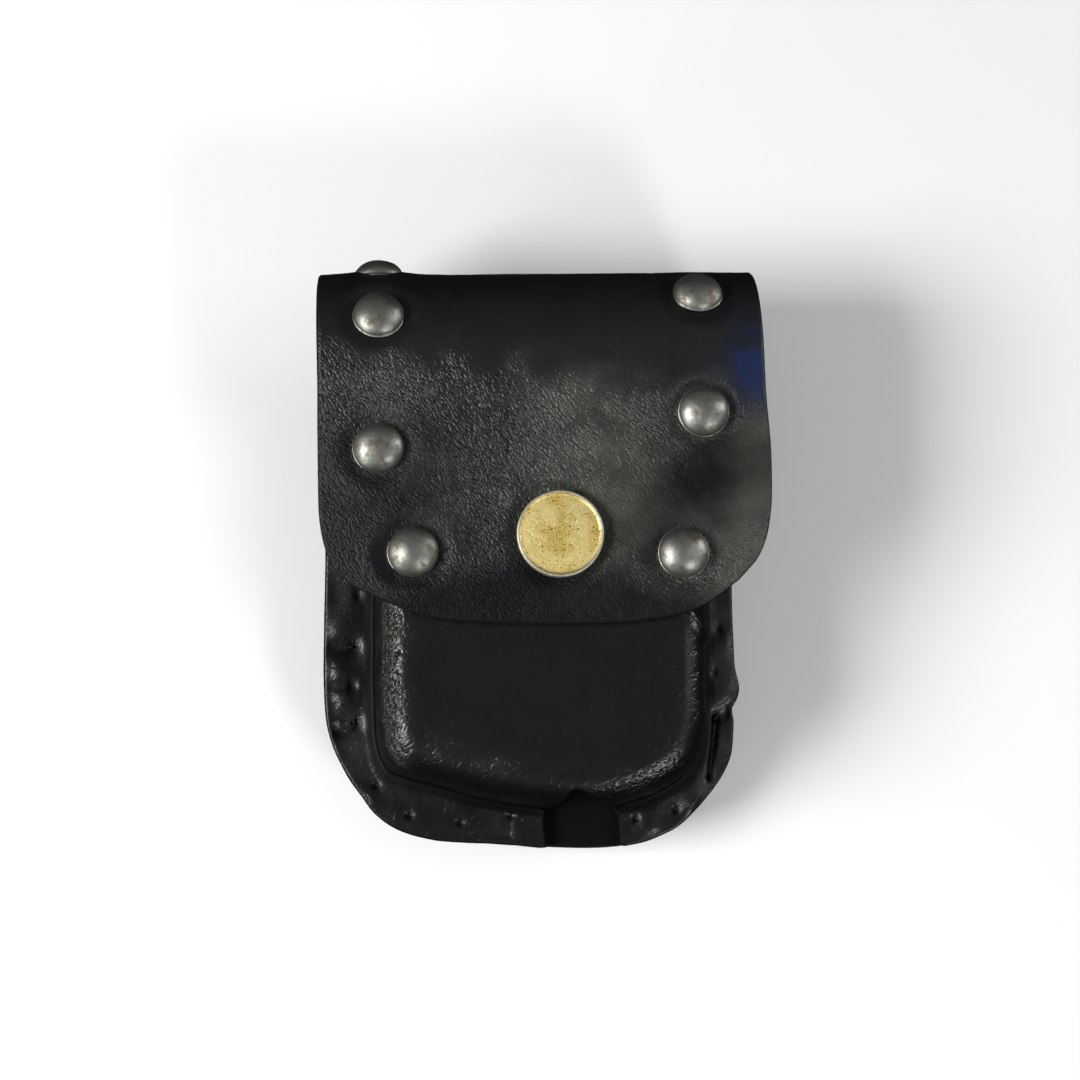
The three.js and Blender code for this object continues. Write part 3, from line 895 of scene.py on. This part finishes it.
        # Grey tint: random wear, plus painted sheen along the ridge, on the left side and towards the right;
        # less of it on the dull patch, the lower left and the tip, as painted shade; none on the fold.
        wear_and_sheen = 0.10 + 0.26 * cloud(x, run, 9, 13) + 0.14 * cloud(x, run, 3.5, 14)
        wear_and_sheen = wear_and_sheen + 0.7 * ridge + 0.12 * side + 0.5 * right - 0.6 * dull - 0.2 * lower_left
        wear_and_sheen = wear_and_sheen * grained * (1 - 0.8 * tip) * (1 - blue_patch)
        polish = np.maximum.reduce([1 - grained, 0.4 * dull, 0.3 * tip, 0.45 * lower_left, blue_patch])
        matte = np.maximum.reduce([0.85 * tip, 0.6 * lower_left, 0.8 * dull, 0.35 * blue_patch])
        return {"polish": np.clip(polish - 0.4 * panel, 0, 1), "blue_patch": blue_patch, "wear_and_sheen": np.clip(wear_and_sheen, 0, 1),
                "matte": matte}

    def build(self, seats: Sequence[tuple[float, float]], snap: tuple[float, float],
              material: bpy.types.Material) -> bpy.types.Object:
        """Builds the leather sheet with its dents, cut edges and marks.

        Args:
            seats: where the rivets sit, across and along the sheet.
            snap: where the snap sits.
            material: the leather.

        Returns:
            The object that stands for back_flap.
        """
        grid = self.outline_grid()
        x, run = grid[..., 0], grid[..., 1]
        waves, dents = self.relief(x, run, seats, snap)
        plain = self.surface(x, run)
        normal = -grid_normals(plain)
        waved = plain + waves[..., None] * normal
        normal = -grid_normals(waved)
        outer = waved + dents[..., None] * normal
        inner = waved - self.thickness * normal
        loop = edge_loop(self.rows, self.columns, pole=False)
        wall = leather_wall(outer, inner, self.marks(x, run), loop, turned_over=True)
        return fit_out(make_object("flap_leather", wall, material), ["back_flap"])


# ---- moulded front ---------------------------------------------------------------------


@dataclass
class MouldedFront:
    """The hollow front: leather moulded wet over a block, with its flange left flat."""

    thickness: float = 2.0
    mouth: tuple[float, float] = (0.6, 36.0)
    face_scale: tuple[float, float] = (0.726, 0.89)
    notch_x: float = 8.8
    notch_half: float = 7.0
    notch_reach: float = 0.61  # how far up the section the notch is cut, as a share
    notch_height: float = 20.0  # the same in millimetres along the leather
    notch_spread: float = 0.9  # half the width, in stations, that its columns take further up
    # How far the notch bulges towards +X: share of the section, and stations of the edge.
    notch_bulge: tuple = (
        (0, 0.02), (0.1, 0.22), (0.2, 0.41), (0.3, 0.42), (0.4, 0.4), (0.52, 0.33), (0.6, 0.2),
        (0.7, 0.08), (0.85, 0),
    )
    crease_share: float = 0.2  # share of the section at which the flange ends
    face_share: float = 0.7  # share at which the flat face begins
    side_stations: int = 172
    notch_stations: int = 64
    rings: int = 92
    dull_rows: int = 3  # rows of raw leather round the notch
    # Rise of the box between its crease (0) and its face (1): share of the way, share of the height.
    rise: tuple = (
        (0, 0), (0.10, 0.006), (0.19, 0.018), (0.225, 0.09), (0.26, 0.3), (0.31, 0.53), (0.38, 0.71),
        (0.5, 0.86), (0.65, 0.945), (0.82, 0.988), (1, 1),
    )
    # Swellings of the flange between its stitches: place and radius.
    swellings: tuple = (
        ((-35.4, -11), 2.6), ((-35.2, -18.8), 2.2), ((-34.8, -24), 2.0), ((-30, -42.4), 2.6),
        ((34.8, -22.5), 2.4), ((34.6, -14.6), 2.2), ((28.6, -43), 2.4), ((20.6, -46.6), 2.6),
    )
    # Valleys that the thread pulls across the flange: two ends, depth and width.
    valleys: tuple = (
        ((-33.2, -14.3), (-39, -14.6), 1.3, 1.3), ((-32.7, -28.5), (-38, -30.6), 1.2, 1.5),
        ((33.1, -27.3), (37.5, -24.9), 0.9, 1.2), ((-32.9, -21.4), (-38.5, -21.6), 0.5, 0.9),
        ((33.1, -27.3), (31.9, -38.1), 1.3, 0.6), ((-4.6, -42.5), (-4.8, -49.6), 0.4, 0.5),
    )

    def notch_span(self) -> tuple[float, float]:
        """Stations of the flange's edge where the notch begins and ends."""
        stations = np.linspace(0, len(FLANGE_EDGE) - 1, 2001)
        edge = spline(FLANGE_EDGE, stations)
        under = (edge[:, 1] < -47) & (np.abs(edge[:, 0] - self.notch_x) < 12)
        ends = (self.notch_x - self.notch_half, self.notch_x + self.notch_half)
        low, high = np.interp(ends, edge[under, 0], stations[under])
        return float(low), float(high)

    def surface(self, stations: Array, share: Array) -> Array:
        """The grain side without its relief.

        The shares run across the flange to crease_share, up the box and round the edge of
        its face to face_share, and across the face to 1 in the middle of the mouth.

        Args:
            stations: places round the flange's edge.
            share: places across the section.

        Returns:
            A grid of points with a row for each share and a column for each station.
        """
        edge = spline(FLANGE_EDGE, stations)
        edge = edge + 0.25 * np.stack([cloud(stations * 9, 0 * stations, 6, 31),
                                       cloud(stations * 9, 0 * stations, 6, 32)], 1)
        pulled = hill(np.hypot(edge[:, 0] - 37, edge[:, 1] + 21.8), 2.6)
        notched = hill(np.hypot(edge[:, 0] - 36.4, edge[:, 1] + 25.6), 1.3)
        edge[:, 0] += 0.9 * pulled - 0.6 * notched
        crease = spline(CREASE, stations)
        mouth = np.array(self.mouth)
        face = mouth + (crease - mouth) * np.array(self.face_scale)
        flange = np.clip(share / self.crease_share, 0, 1)[:, None, None]
        climb = (share - self.crease_share) / (self.face_share - self.crease_share)
        box = spaced(self.rise, np.clip(climb, 0, 1))
        top = np.clip((share - self.face_share) / (1 - self.face_share), 0, 1)[:, None, None]
        plan = edge * (1 - flange) + crease * flange
        plan = plan + (face - crease) * box[:, :1, None] + (mouth - face) * top
        height = (LEVELS.box_top - LEVELS.flange - self.thickness) * box[:, 1]
        z = np.broadcast_to((LEVELS.flange + self.thickness + height)[:, None], plan.shape[:2])
        return np.concatenate([plan, z[..., None]], -1)

    def pucker(self, x: Array, y: Array, share: Array) -> Array:
        """Rise and fall of the flange: swollen between stitches, pulled in under them.

        Args:
            x: places across the pouch.
            y: places along it.
            share: places across the section.

        Returns:
            Millimetres upwards.
        """
        lift = 0.3 * cloud(x, y, 4.2, 21) + 0.08 * cloud(x, y, 2.1, 22)
        for place, size in self.swellings:
            lift = lift + 0.65 * hill(np.hypot(x - place[0], y - place[1]), size)
        for start, end, depth, width in self.valleys:
            lift = lift - depth * hill(to_segment(x, y, start, end), width)
        lift = lift * step(share, -0.02, 0.06) * (1 - step(share, 0.17, 0.23))
        for hole in HOLES:
            r = np.hypot(x - hole[0], y - hole[1])
            lift = lift - 0.7 * hill(r, 0.6) - 0.06 * hill(r, 1.9)
        return lift

    def relief(self, x: Array, y: Array, share: Array) -> Array:
        """Gentle waves of the box and the crumpled leather of its right shoulder.

        Args:
            x: places across the pouch.
            y: places along it.
            share: places across the section.

        Returns:
            Millimetres outwards.
        """
        waves = step(share, 0.55, 0.75) * (0.2 * cloud(x, y, 13, 41) + 0.07 * cloud(x, y, 5, 42))
        wall = step(share, 0.22, 0.3) * (1 - step(share, 0.5, 0.6))
        waves = waves + 0.16 * wall * cloud(x + y, x - y, 5, 43)
        ridge = hill(to_segment(x, y, (25.5, -9), (29.0, -13.0)), 0.9)
        furrow = hill(to_segment(x, y, (27.6, -7.5), (29.4, -11)), 0.7)
        return waves + (0.8 * ridge - 0.7 * furrow) * step(share, 0.36, 0.5)

    def marks(self, x: Array, y: Array, share: Array) -> dict[str, Array]:
        """Where the moulded front is polished, tinted grey and dull.

        The grain shows on the crown of the box's left side and on its rounded right corner.
        The wall below the crown is dull. The grey tint is painted highlight on the left of the
        crown, on the ledge above the crease and in a small glint near the bottom of the face,
        and on the flange it is painted sheen, much stronger on its right, with a little wear.

        Args:
            x: places across the pouch.
            y: places along it.
            share: places across the section.

        Returns:
            Values from 0 to 1 for the leather's marks.
        """
        left = 1 - step(x, -25.5, -21)
        side = step(y, -44, -34)
        flange = 1 - step(share, 0.17, 0.22)
        # ledge: strip just above the crease; its grey tint below is painted highlight
        ledge = step(share, 0.19, 0.205) * (1 - step(share, 0.24, 0.26)) * side
        ragged = share + 0.012 * cloud(x, y, 1.6, 45)
        # crown: rounded edge of the box's face; its grey tint on the left is painted highlight
        crown = 1 - 0.8 * step(ragged, 0.60, 0.66) - 0.2 * step(ragged, 0.66, 0.78)
        crown = crown * step(share, 0.47, 0.52)
        rounding = 1 - step(share + 0.01 * cloud(x, y, 2, 46), 0.60, 0.65)
        corner = rounding * step(share, 0.5, 0.54) * step(x - y, 44, 56) * (1 - step(y, -36, -30))
        # painted glint: a small soft grey highlight with more grain near the bottom of the face, and a
        # fainter one to its left
        painted_glint = hill(np.hypot((x + 8.4) / 2, y + 35), 1.7) + 0.6 * hill(np.hypot((x + 17) / 1.6, y + 33), 2)
        pits = sum(hill(np.hypot(x - hole[0], y - hole[1]), 1.1) for hole in HOLES)
        wall = step(share, 0.19, 0.21) * (1 - 0.4 * step(share, 0.28, 0.34)) * (1 - step(share, 0.42, 0.48))
        rough = flange * (0.04 + 0.08 * left * side) + crown * (0.06 + 0.94 * left)
        # painted sheen on the flange's sides, much stronger on the right, with a little random wear
        flange_sheen_and_wear = flange * (0.04 + 0.3 * side + 0.9 * side * (x > 0)) * (1 + cloud(x, y, 6, 44))
        return {
            "polish": np.clip(1 - rough - 0.30 * corner - 0.35 * painted_glint, 0, 1),
            "wear_and_sheen": np.clip(0.4 * crown * left + 0.3 * ledge + 0.22 * painted_glint + flange_sheen_and_wear, 0, 1),
            "matte": np.maximum.reduce([wall, 0.35 * flange, pits * flange]),
            "blue_patch": np.zeros_like(x),
        }

    def build(self, material: bpy.types.Material) -> bpy.types.Object:
        """Builds the moulded front with its puckered flange, thumb notch and marks.

        Args:
            material: the leather.

        Returns:
            The object that stands for front_shell.
        """
        dense_at = np.linspace(0, len(FLANGE_EDGE) - 1, 520)
        dense_share = np.linspace(0, 1, 181)
        plain = self.surface(dense_at, dense_share)
        share = np.broadcast_to(dense_share[:, None], plain.shape[:2])
        x, y = plain[..., 0], plain[..., 1]
        outer = plain + self.relief(x, y, share)[..., None] * self.normals(plain)
        inner = outer - self.thickness * self.normals(outer)
        outer[..., 2] += self.pucker(x, y, share)
        flat = 1 - step(share, 0.15, 0.22)
        inner[..., 2] = inner[..., 2] * (1 - flat) + LEVELS.flange * flat
        inner[:, 0, 1] = inner[:, -1, 1] = self.mouth[1]
        marks = self.marks(x, y, share)
        stations, shares = self.cut_grid()
        rows = shares * (len(dense_share) - 1)
        columns = np.interp(stations, dense_at, np.arange(len(dense_at)))
        outer, inner = sampled(outer, rows, columns), sampled(inner, rows, columns)
        marks = {name: sampled(value[..., None], rows, columns)[..., 0] for name, value in marks.items()}
        notch = slice(self.side_stations, self.side_stations + self.notch_stations)
        marks["matte"][:self.dull_rows, notch] = 1
        loop = edge_loop(*outer.shape[:2], pole=True)
        wall = leather_wall(outer, inner, marks, loop, round_edge=0.45)
        return fit_out(make_object("moulded_leather", wall, material), ["front_shell"])

    def normals(self, points: Array) -> Array:
        """Normals of the grain side, upright at the pole in the middle of the mouth."""
        found = grid_normals(points)
        found[-1] = (0, 0, 1)
        return found

    def cut_grid(self) -> tuple[Array, Array]:
        """Stations and shares of the cut piece, whose first row runs round the notch.

        Over the notch the first row follows begin = reach * (1 - |swing|^2.1)^0.65, and its
        places are evenly spaced along that curve. Further up, the columns spread out again.
        The columns beside the notch then bow towards +X by the bulge, less so further away.

        Returns:
            Stations and shares, one of each for every row and column.
        """
        low, high = self.notch_span()
        swing = -np.cos(np.linspace(0, math.pi, 81))
        arch = self.notch_height * (1 - np.abs(swing) ** 2.1) ** 0.65
        arch[[0, -1]] = 0
        curve = spaced(np.column_stack([swing * self.notch_half, arch]),
                       np.linspace(0, 1, self.notch_stations))
        over = (low + high) / 2 + (high - low) / 2 * np.clip(curve[:, 0] / self.notch_half, -1, 1)
        left = np.linspace(0, low, self.side_stations, endpoint=False)
        right = np.linspace(high, len(FLANGE_EDGE) - 1, self.side_stations + 1)[1:]
        stations = np.concatenate([left, over, right])
        cut = self.notch_reach * np.clip(curve[:, 1] / self.notch_height, 0, 1)
        begin = np.concatenate([0 * left, cut, 0 * right])
        shares = np.interp(np.linspace(0, 1, self.rings), [0, 0.22, 0.3, 0.8, 1], [0, 0.17, 0.225, 0.74, 1])
        shares = begin + (1 - begin) * shares[:, None]
        middle = (low + high) / 2
        even = np.concatenate([
            np.linspace(0, middle - self.notch_spread, self.side_stations, endpoint=False),
            np.linspace(middle - self.notch_spread, middle + self.notch_spread, self.notch_stations),
            np.linspace(middle + self.notch_spread, len(FLANGE_EDGE) - 1, self.side_stations + 1)[1:],
        ])
        relaxed = step(np.linspace(0, 1, self.rings), 0.0, 0.45)[:, None]
        stations = stations * (1 - relaxed) + even * relaxed
        table = spline(self.notch_bulge, np.linspace(0, len(self.notch_bulge) - 1, 200))
        bulge = np.interp(shares, table[:, 0], table[:, 1])
        return stations + bulge * hill(stations - high - 0.1, 0.9), shares


# ---- fittings --------------------------------------------------------------------------


@dataclass
class Rivets:
    """Domed rivets set through the flap."""

    dome_radius: float = 4.5
    dome_height: float = 3.3
    post_radius: float = 1.5
    burr_radius: float = 3.0
    burr_thickness: float = 0.8
    sink: float = 0.62  # how far the dome's rim is pulled into the leather
    crest_sink: float = 0.25  # the same on the fold's crest
    rim: float = 0.28  # height of the dome's straight rim
    sides: int = 56
    # Name and drawing point of those on the flat of the flap.
    on_flap: tuple = (
        ("rivet_left_middle", -28.3, 19.1), ("rivet_left_lower", -22.2, 1.2),
        ("rivet_right_middle", 28.1, 26.0), ("rivet_right_lower", 24.4, 1.3),
    )
    # Name, place across and distance past the crest of those on the fold.
    past_crest: tuple = (
        ("rivet_left_crest", -28.8, 1.2), ("rivet_left_upper", -28.5, 16.1),
        ("rivet_right_upper", 27.7, 10.9),
    )

    def seats(self, sheet: SheetLeather) -> dict[str, tuple[float, float]]:
        """Each rivet's place across and along the sheet."""
        found = {name: (x, sheet.crest_run + past) for name, x, past in self.past_crest}
        found.update({name: sheet.on_flap((x, y)) for name, x, y in self.on_flap})
        return found

    def skin(self, sheet: SheetLeather, seat: tuple[float, float], seed: int) -> Skin:
        """One rivet turned about its post, dented a little and stood on its seat.

        Args:
            sheet: the leather that it is set through.
            seat: its place across and along the sheet.
            seed: picks its dents.

        Returns:
            The rivet.
        """
        low, rim = -sheet.thickness, self.rim
        dome_turn = np.linspace(0, math.pi / 2, 16)
        round_radius = (self.dome_radius - 0.13) * np.cos(dome_turn)
        round_height = rim + (self.dome_height - rim) * np.sin(dome_turn)
        profile = [(0, low), (self.burr_radius, low), (self.burr_radius, low + self.burr_thickness),
                   (self.post_radius, low + self.burr_thickness), (self.post_radius, 0.1),
                   (self.dome_radius - 0.5, 0.0), (self.dome_radius - 0.1, 0.0), (self.dome_radius, 0.12),
                   (self.dome_radius, rim - 0.08), (self.dome_radius - 0.06, rim)]
        profile += list(zip(round_radius, round_height))
        made = turned(profile, self.sides)
        p = made.points
        soft = step(p[:, 2], 0.4, 2.0)
        p[:, 2] -= soft * (0.10 + 0.10 * cloud(p[:, 0] + 9 * seed, p[:, 1], 2.6, seed))
        sink = self.sink if sheet.past_crest(seat[1]) else self.crest_sink
        p[:, 2] -= np.where(p[:, 2] > -0.05, sink, 0)
        made.points = stood(p, sheet.seat(*seat))
        return made

    def build(self, sheet: SheetLeather, material: bpy.types.Material) -> None:
        """Builds the seven rivets."""
        for seed, (name, seat) in enumerate(self.seats(sheet).items(), 51):
            made = make_object(name.replace("rivet", "domed_rivet"), self.skin(sheet, seat, seed), material)
            fit_out(made, [name])


@dataclass
class SnapCap:
    """The snap's cap: a pressed brass disc whose edge is rolled into a bright bead."""

    place: tuple[float, float] = (2.9, 4.3)
    radius: float = 7.5
    height: float = 2.1
    bead: float = 0.62
    barrel: float = 1.8
    sides: int = 128

    def build(self, sheet: SheetLeather, material: bpy.types.Material) -> None:
        """Builds the cap from its profile, turned about the barrel."""
        top = self.height - 0.35
        turn = np.linspace(-0.35, math.pi * 0.93, 14)
        bead_x = self.radius - self.bead / 2 + self.bead / 2 * np.cos(turn)
        bead_z = top - 0.1 + self.bead / 2 * np.sin(turn) * 1.15
        profile = [(0, -0.9), (self.barrel, -0.9), (self.barrel, -0.3), (self.radius - 0.9, -0.3),
                   (self.radius - 0.25, -0.2), (self.radius - 0.02, 0.1), (self.radius, 0.6),
                   (self.radius, top - 0.35)]
        profile += list(zip(bead_x, bead_z))
        inner = self.radius - self.bead
        profile += [(inner - 0.12, top - 0.16), (inner - 0.4, top - 0.12), (inner - 1.2, top - 0.09),
                    (inner * 0.6, top - 0.04), (inner * 0.3, top - 0.01), (0, top)]
        made = turned(profile, self.sides)
        out = np.hypot(made.points[:, 0], made.points[:, 1])
        made.marks["bead"] = step(out, inner - 0.1, inner + 0.1)
        made.points = stood(made.points, sheet.seat(*sheet.on_flap(self.place)))
        fit_out(make_object("snap_cap_brass", made, material), ["snap_cap"])
        for node in ("snap_socket", "snap_stud"):
            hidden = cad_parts[node]
            hidden.data.materials.clear()
            hidden.data.materials.append(material)


# ---- stitches --------------------------------------------------------------------------


@dataclass
class FlangeStitches:
    """Waxed thread through the flange: a running stitch, wrapped over the edge in places."""

    thread: float = 0.36  # radius
    front_z: float = LEVELS.flange + MouldedFront.thickness
    back_z: float = LEVELS.back
    wraps: tuple = ((4, (-38.0, -14.5)), (6, (-36.9, -30.2)), (14, (36.0, -25.2)))

    def span(self, start: Sequence[float], end: Sequence[float], lie: Lie) -> Skin:
        """One stitch between two holes: down into each, and flat in its groove between.

        Args:
            start: the first hole.
            end: the next hole.
            lie: the side that it lies on.

        Returns:
            The stitch.
        """
        t = np.linspace(0, 1, 17)
        plan = np.outer(1 - t, start) + np.outer(t, end)
        dip = 1.5 * (hill(t, 0.09) + hill(t - 1, 0.09))
        if lie is Lie.FRONT:
            z = self.front_z - 0.75 - dip
        else:
            z = self.back_z - 0.1 + dip
        return swept(np.column_stack([plan, z]), self.thread * (1 - 0.12 * np.cos(8 * math.pi * t)))

    def wrap(self, hole: Sequence[float], edge: Sequence[float]) -> Skin:
        """One stitch over the flange's edge, from the hole round to the back."""
        front, back = self.front_z, self.back_z
        inside = np.array(edge) - 0.5 * (np.array(edge) - hole) / math.dist(edge, hole)
        between = np.array(hole) * 0.5 + np.array(edge) * 0.5
        points = [(*hole, front - 1.9), (*hole, front - 1.3), (*between, front - 1.35),
                  (*inside, front - 1.3), (*edge, (front + back) / 2), (*edge, back - 0.1),
                  (*between, back - 0.2), (*hole, back - 0.1), (*hole, back + 1.2)]
        path = spaced(points, np.linspace(0, 1, 48))
        return swept(path, np.full(48, self.thread))

    def build(self, material: bpy.types.Material) -> None:
        """Builds every stitch as one piece of thread."""
        skins = []
        for k, (start, end) in enumerate(zip(HOLES[:-1], HOLES[1:])):
            over_notch = start[0] < 0 < end[0]
            if not over_notch:
                skins.append(self.span(start, end, Lie.FRONT if k % 2 == 1 else Lie.BACK))
        skins += [self.wrap(HOLES[k], edge) for k, edge in self.wraps]
        fit_out(make_object("flange_stitches", joined(skins), material))


# ---- belt loop -------------------------------------------------------------------------


@dataclass
class BeltLoop:
    """Plain strap on the back, sewn at its two ends, for the belt to pass through."""

    half_width: float = 20.0
    top: float = 39.0
    bottom: float = -32.0
    tab: float = 11.0
    ramp: float = 7.0
    thickness: float = 2.4
    gap: float = 0.3
    rows: int = 160
    columns: int = 60
    stitch: float = 2.6  # length of a stitch
    between: float = 0.8  # from one stitch to the next
    thread: float = 0.36  # radius
    margin: float = 2.5  # from the end of a row of stitches to the strap's side edge

    def height(self, y: Array) -> Array:
        """Outer face of the strap along the pouch: on the panel, bending away, flat."""
        raised = LEVELS.back - self.gap - self.thickness
        from_top = step(self.top - self.tab - y, 0, self.ramp)
        from_bottom = step(y - self.bottom - self.tab, 0, self.ramp)
        return raised * (1 - from_top * from_bottom)

    def build(self, leather: bpy.types.Material, thread: bpy.types.Material) -> None:
        """Builds the strap, and its two rows of stitches at each end."""
        y, x = np.meshgrid(np.linspace(self.bottom, self.top, self.rows),
                           np.linspace(-self.half_width, self.half_width, self.columns), indexing="ij")
        outer = np.stack([x, y, self.height(y)], -1)
        normal = grid_normals(outer)
        inner = outer + self.thickness * normal
        marks = {"polish": 0.4 + 0 * x, "wear_and_sheen": 0.3 + 0.2 * cloud(x, y, 7, 61), "blue_patch": 0 * x}
        loop = edge_loop(self.rows, self.columns, pole=False)
        wall = leather_wall(outer, inner, marks, loop, turned_over=True, round_edge=0.4)
        fit_out(make_object("belt_loop_leather", wall, leather), ["belt_loop"])
        rows = [self.top - 3, self.top - self.tab + 2, self.bottom + 3, self.bottom + self.tab - 2]
        seams = joined([self.seam(y) for y in rows])
        fit_out(make_object("belt_loop_stitches", seams, thread))

    def seam(self, y: float) -> Skin:
        """A row of short stitches across the strap, each dipping into its holes."""
        face = float(self.height(np.array(y)))
        end = self.half_width - self.margin
        t = np.linspace(0, 1, 9)
        z = face - 0.12 + 0.6 * (hill(t, 0.14) + hill(t - 1, 0.14))
        return joined([
            swept(np.column_stack([x + self.stitch * t, 0 * t + y, z]), np.full(len(t), self.thread), 6)
            for x in np.arange(-end, end - self.stitch, self.stitch + self.between)
        ])


# ---- stage -----------------------------------------------------------------------------


@dataclass
class Studio:
    """Camera over the pouch, soft lights low on both sides and a round pale floor."""

    eye: tuple[float, float, float] = (-20.0, -25.0, 333.6)
    look_at: tuple[float, float, float] = (-0.5, 3.3, 33.6)
    lens: float = 58.67
    floor_radius: float = 0.75  # m
    floor_sides: int = 128
    room: str = "#ccd0d6"
    room_low: float = 0.02
    room_high: float = 0.36
    backdrop: str = "#dfe0e2"
    # Name, bearing, elevation, distance, width and height, and power of each lamp.
    lamps: tuple = (
        ("window_left", 190, 36, 0.9, (0.42, 0.34), 11.0),
        ("low_left", 215, 12, 0.9, (0.22, 0.16), 1.6),
        ("low_front", 308, 34, 0.9, (0.22, 0.16), 2.9),
        ("low_right", 18, 14, 0.9, (0.16, 0.20), 2.2),
        ("fill_right", 15, 42, 1.0, (0.6, 0.6), 1.3),
    )

    def camera(self) -> None:
        """Stands the camera over the pouch with +Y upwards in its view."""
        eye = DRAWING.place(np.array(self.eye))
        forward = unit(DRAWING.place(np.array(self.look_at)) - eye)
        right = unit(np.cross(forward, UP_THE_POUCH))
        up = np.cross(right, forward)
        data = bpy.data.cameras.new("camera")
        data.lens, data.sensor_width = self.lens, 36.0
        data.clip_start, data.clip_end = 0.01, 20.0
        made = bpy.data.objects.new("camera", data)
        turn = Matrix(np.column_stack([right, up, -forward]).tolist()).to_4x4()
        made.matrix_world = Matrix.Translation(Vector(eye)) @ turn
        bpy.context.scene.collection.objects.link(made)
        bpy.context.scene.camera = made

    def lamp(self, name: str, side: float, height: float, away: float, size: tuple[float, float],
             power: float) -> None:
        """A soft rectangular lamp that faces the pouch.

        Args:
            name: the lamp's name.
            side: its bearing in degrees, 0 towards +X and 90 towards +Y.
            height: its elevation in degrees.
            away: its distance in metres.
            size: its width and height in metres.
            power: its power in watts.
        """
        data = bpy.data.lights.new(name, "AREA")
        data.shape, data.size, data.size_y = "RECTANGLE", *size
        data.energy = power
        made = bpy.data.objects.new(name, data)
        turn, lift = math.radians(side), math.radians(height)
        flat = math.cos(lift)
        place = Vector((math.cos(turn) * flat, math.sin(turn) * flat, math.sin(lift))) * away
        made.location = place
        made.rotation_euler = (-place).to_track_quat("-Z", "Y").to_euler()
        made.visible_camera = False
        bpy.context.scene.collection.objects.link(made)

    def world(self) -> None:
        """Plain room with a pale backdrop: soft light from above that fades towards the table."""
        world = bpy.data.worlds.new("room")
        world.use_nodes = True
        tree = world.node_tree
        tree.nodes.clear()
        direction = add(tree, "ShaderNodeTexCoord").outputs["Generated"]
        parts = add(tree, "ShaderNodeSeparateXYZ", {0: direction})
        height = add(tree, "ShaderNodeMapRange", {
            "Value": parts.outputs["Z"], "From Min": 0.0, "From Max": 0.7,
            "To Min": self.room_low, "To Max": self.room_high,
        })
        light = add(tree, "ShaderNodeBackground", {"Color": linear(self.room), "Strength": height.outputs[0]})
        seen = add(tree, "ShaderNodeBackground", {"Color": linear(self.backdrop), "Strength": 1.0})
        path = add(tree, "ShaderNodeLightPath")
        both = add(tree, "ShaderNodeMixShader", {0: path.outputs["Is Camera Ray"], 1: light.outputs[0],
                                                 2: seen.outputs[0]})
        add(tree, "ShaderNodeOutputWorld", {"Surface": both.outputs[0]})
        bpy.context.scene.world = world

    def build(self) -> None:
        """Builds the camera, the lamps, the world and the floor."""
        self.camera()
        for lamp in self.lamps:
            self.lamp(*lamp)
        self.world()
        bpy.context.scene.view_settings.view_transform = "Standard"
        turn = np.linspace(0, 2 * math.pi, self.floor_sides, endpoint=False)
        rim = self.floor_radius * np.column_stack([np.cos(turn), np.sin(turn), 0 * turn])
        mesh = bpy.data.meshes.new("floor")
        mesh.from_pydata(rim.tolist(), [], [tuple(range(len(rim)))])
        mesh.materials.append(MattPaper().material())
        floor = bpy.data.objects.new("floor", mesh)
        bpy.context.scene.collection.objects.link(floor)
        floor.visible_glossy = False


def main() -> None:
    """Builds the studio, then the pouch piece by piece, and logs each piece's face count."""
    logging.basicConfig(level=logging.INFO, format="%(name)s: %(message)s")
    Studio().build()
    leather = DyedLeather().material()
    # the moulded front's grey-brown tint is mostly painted highlight and sheen
    moulded = DyedLeather(
        name="moulded_black_cowhide", dye="#070707", rubbed_and_sheen="#33332d", cut_edge="#0d0b0a",
        crease_turn=35.0, crease_length=1.35, crease_width=0.72, crease_depth=0.55, crease_power=3.2,
        wrinkling=0.6, rough_polished=0.26, rough_grained=0.28,
    ).material()
    thread = WaxedThread().material()
    sheet, rivets, cap = SheetLeather(), Rivets(), SnapCap()
    sheet.build(list(rivets.seats(sheet).values()), sheet.on_flap(cap.place), leather)
    MouldedFront().build(moulded)
    rivets.build(sheet, DomedSteel().material())
    cap.build(sheet, AgedBrass().material())
    FlangeStitches().build(thread)
    BeltLoop().build(leather, thread)


if __name__ == "__main__":
    main()
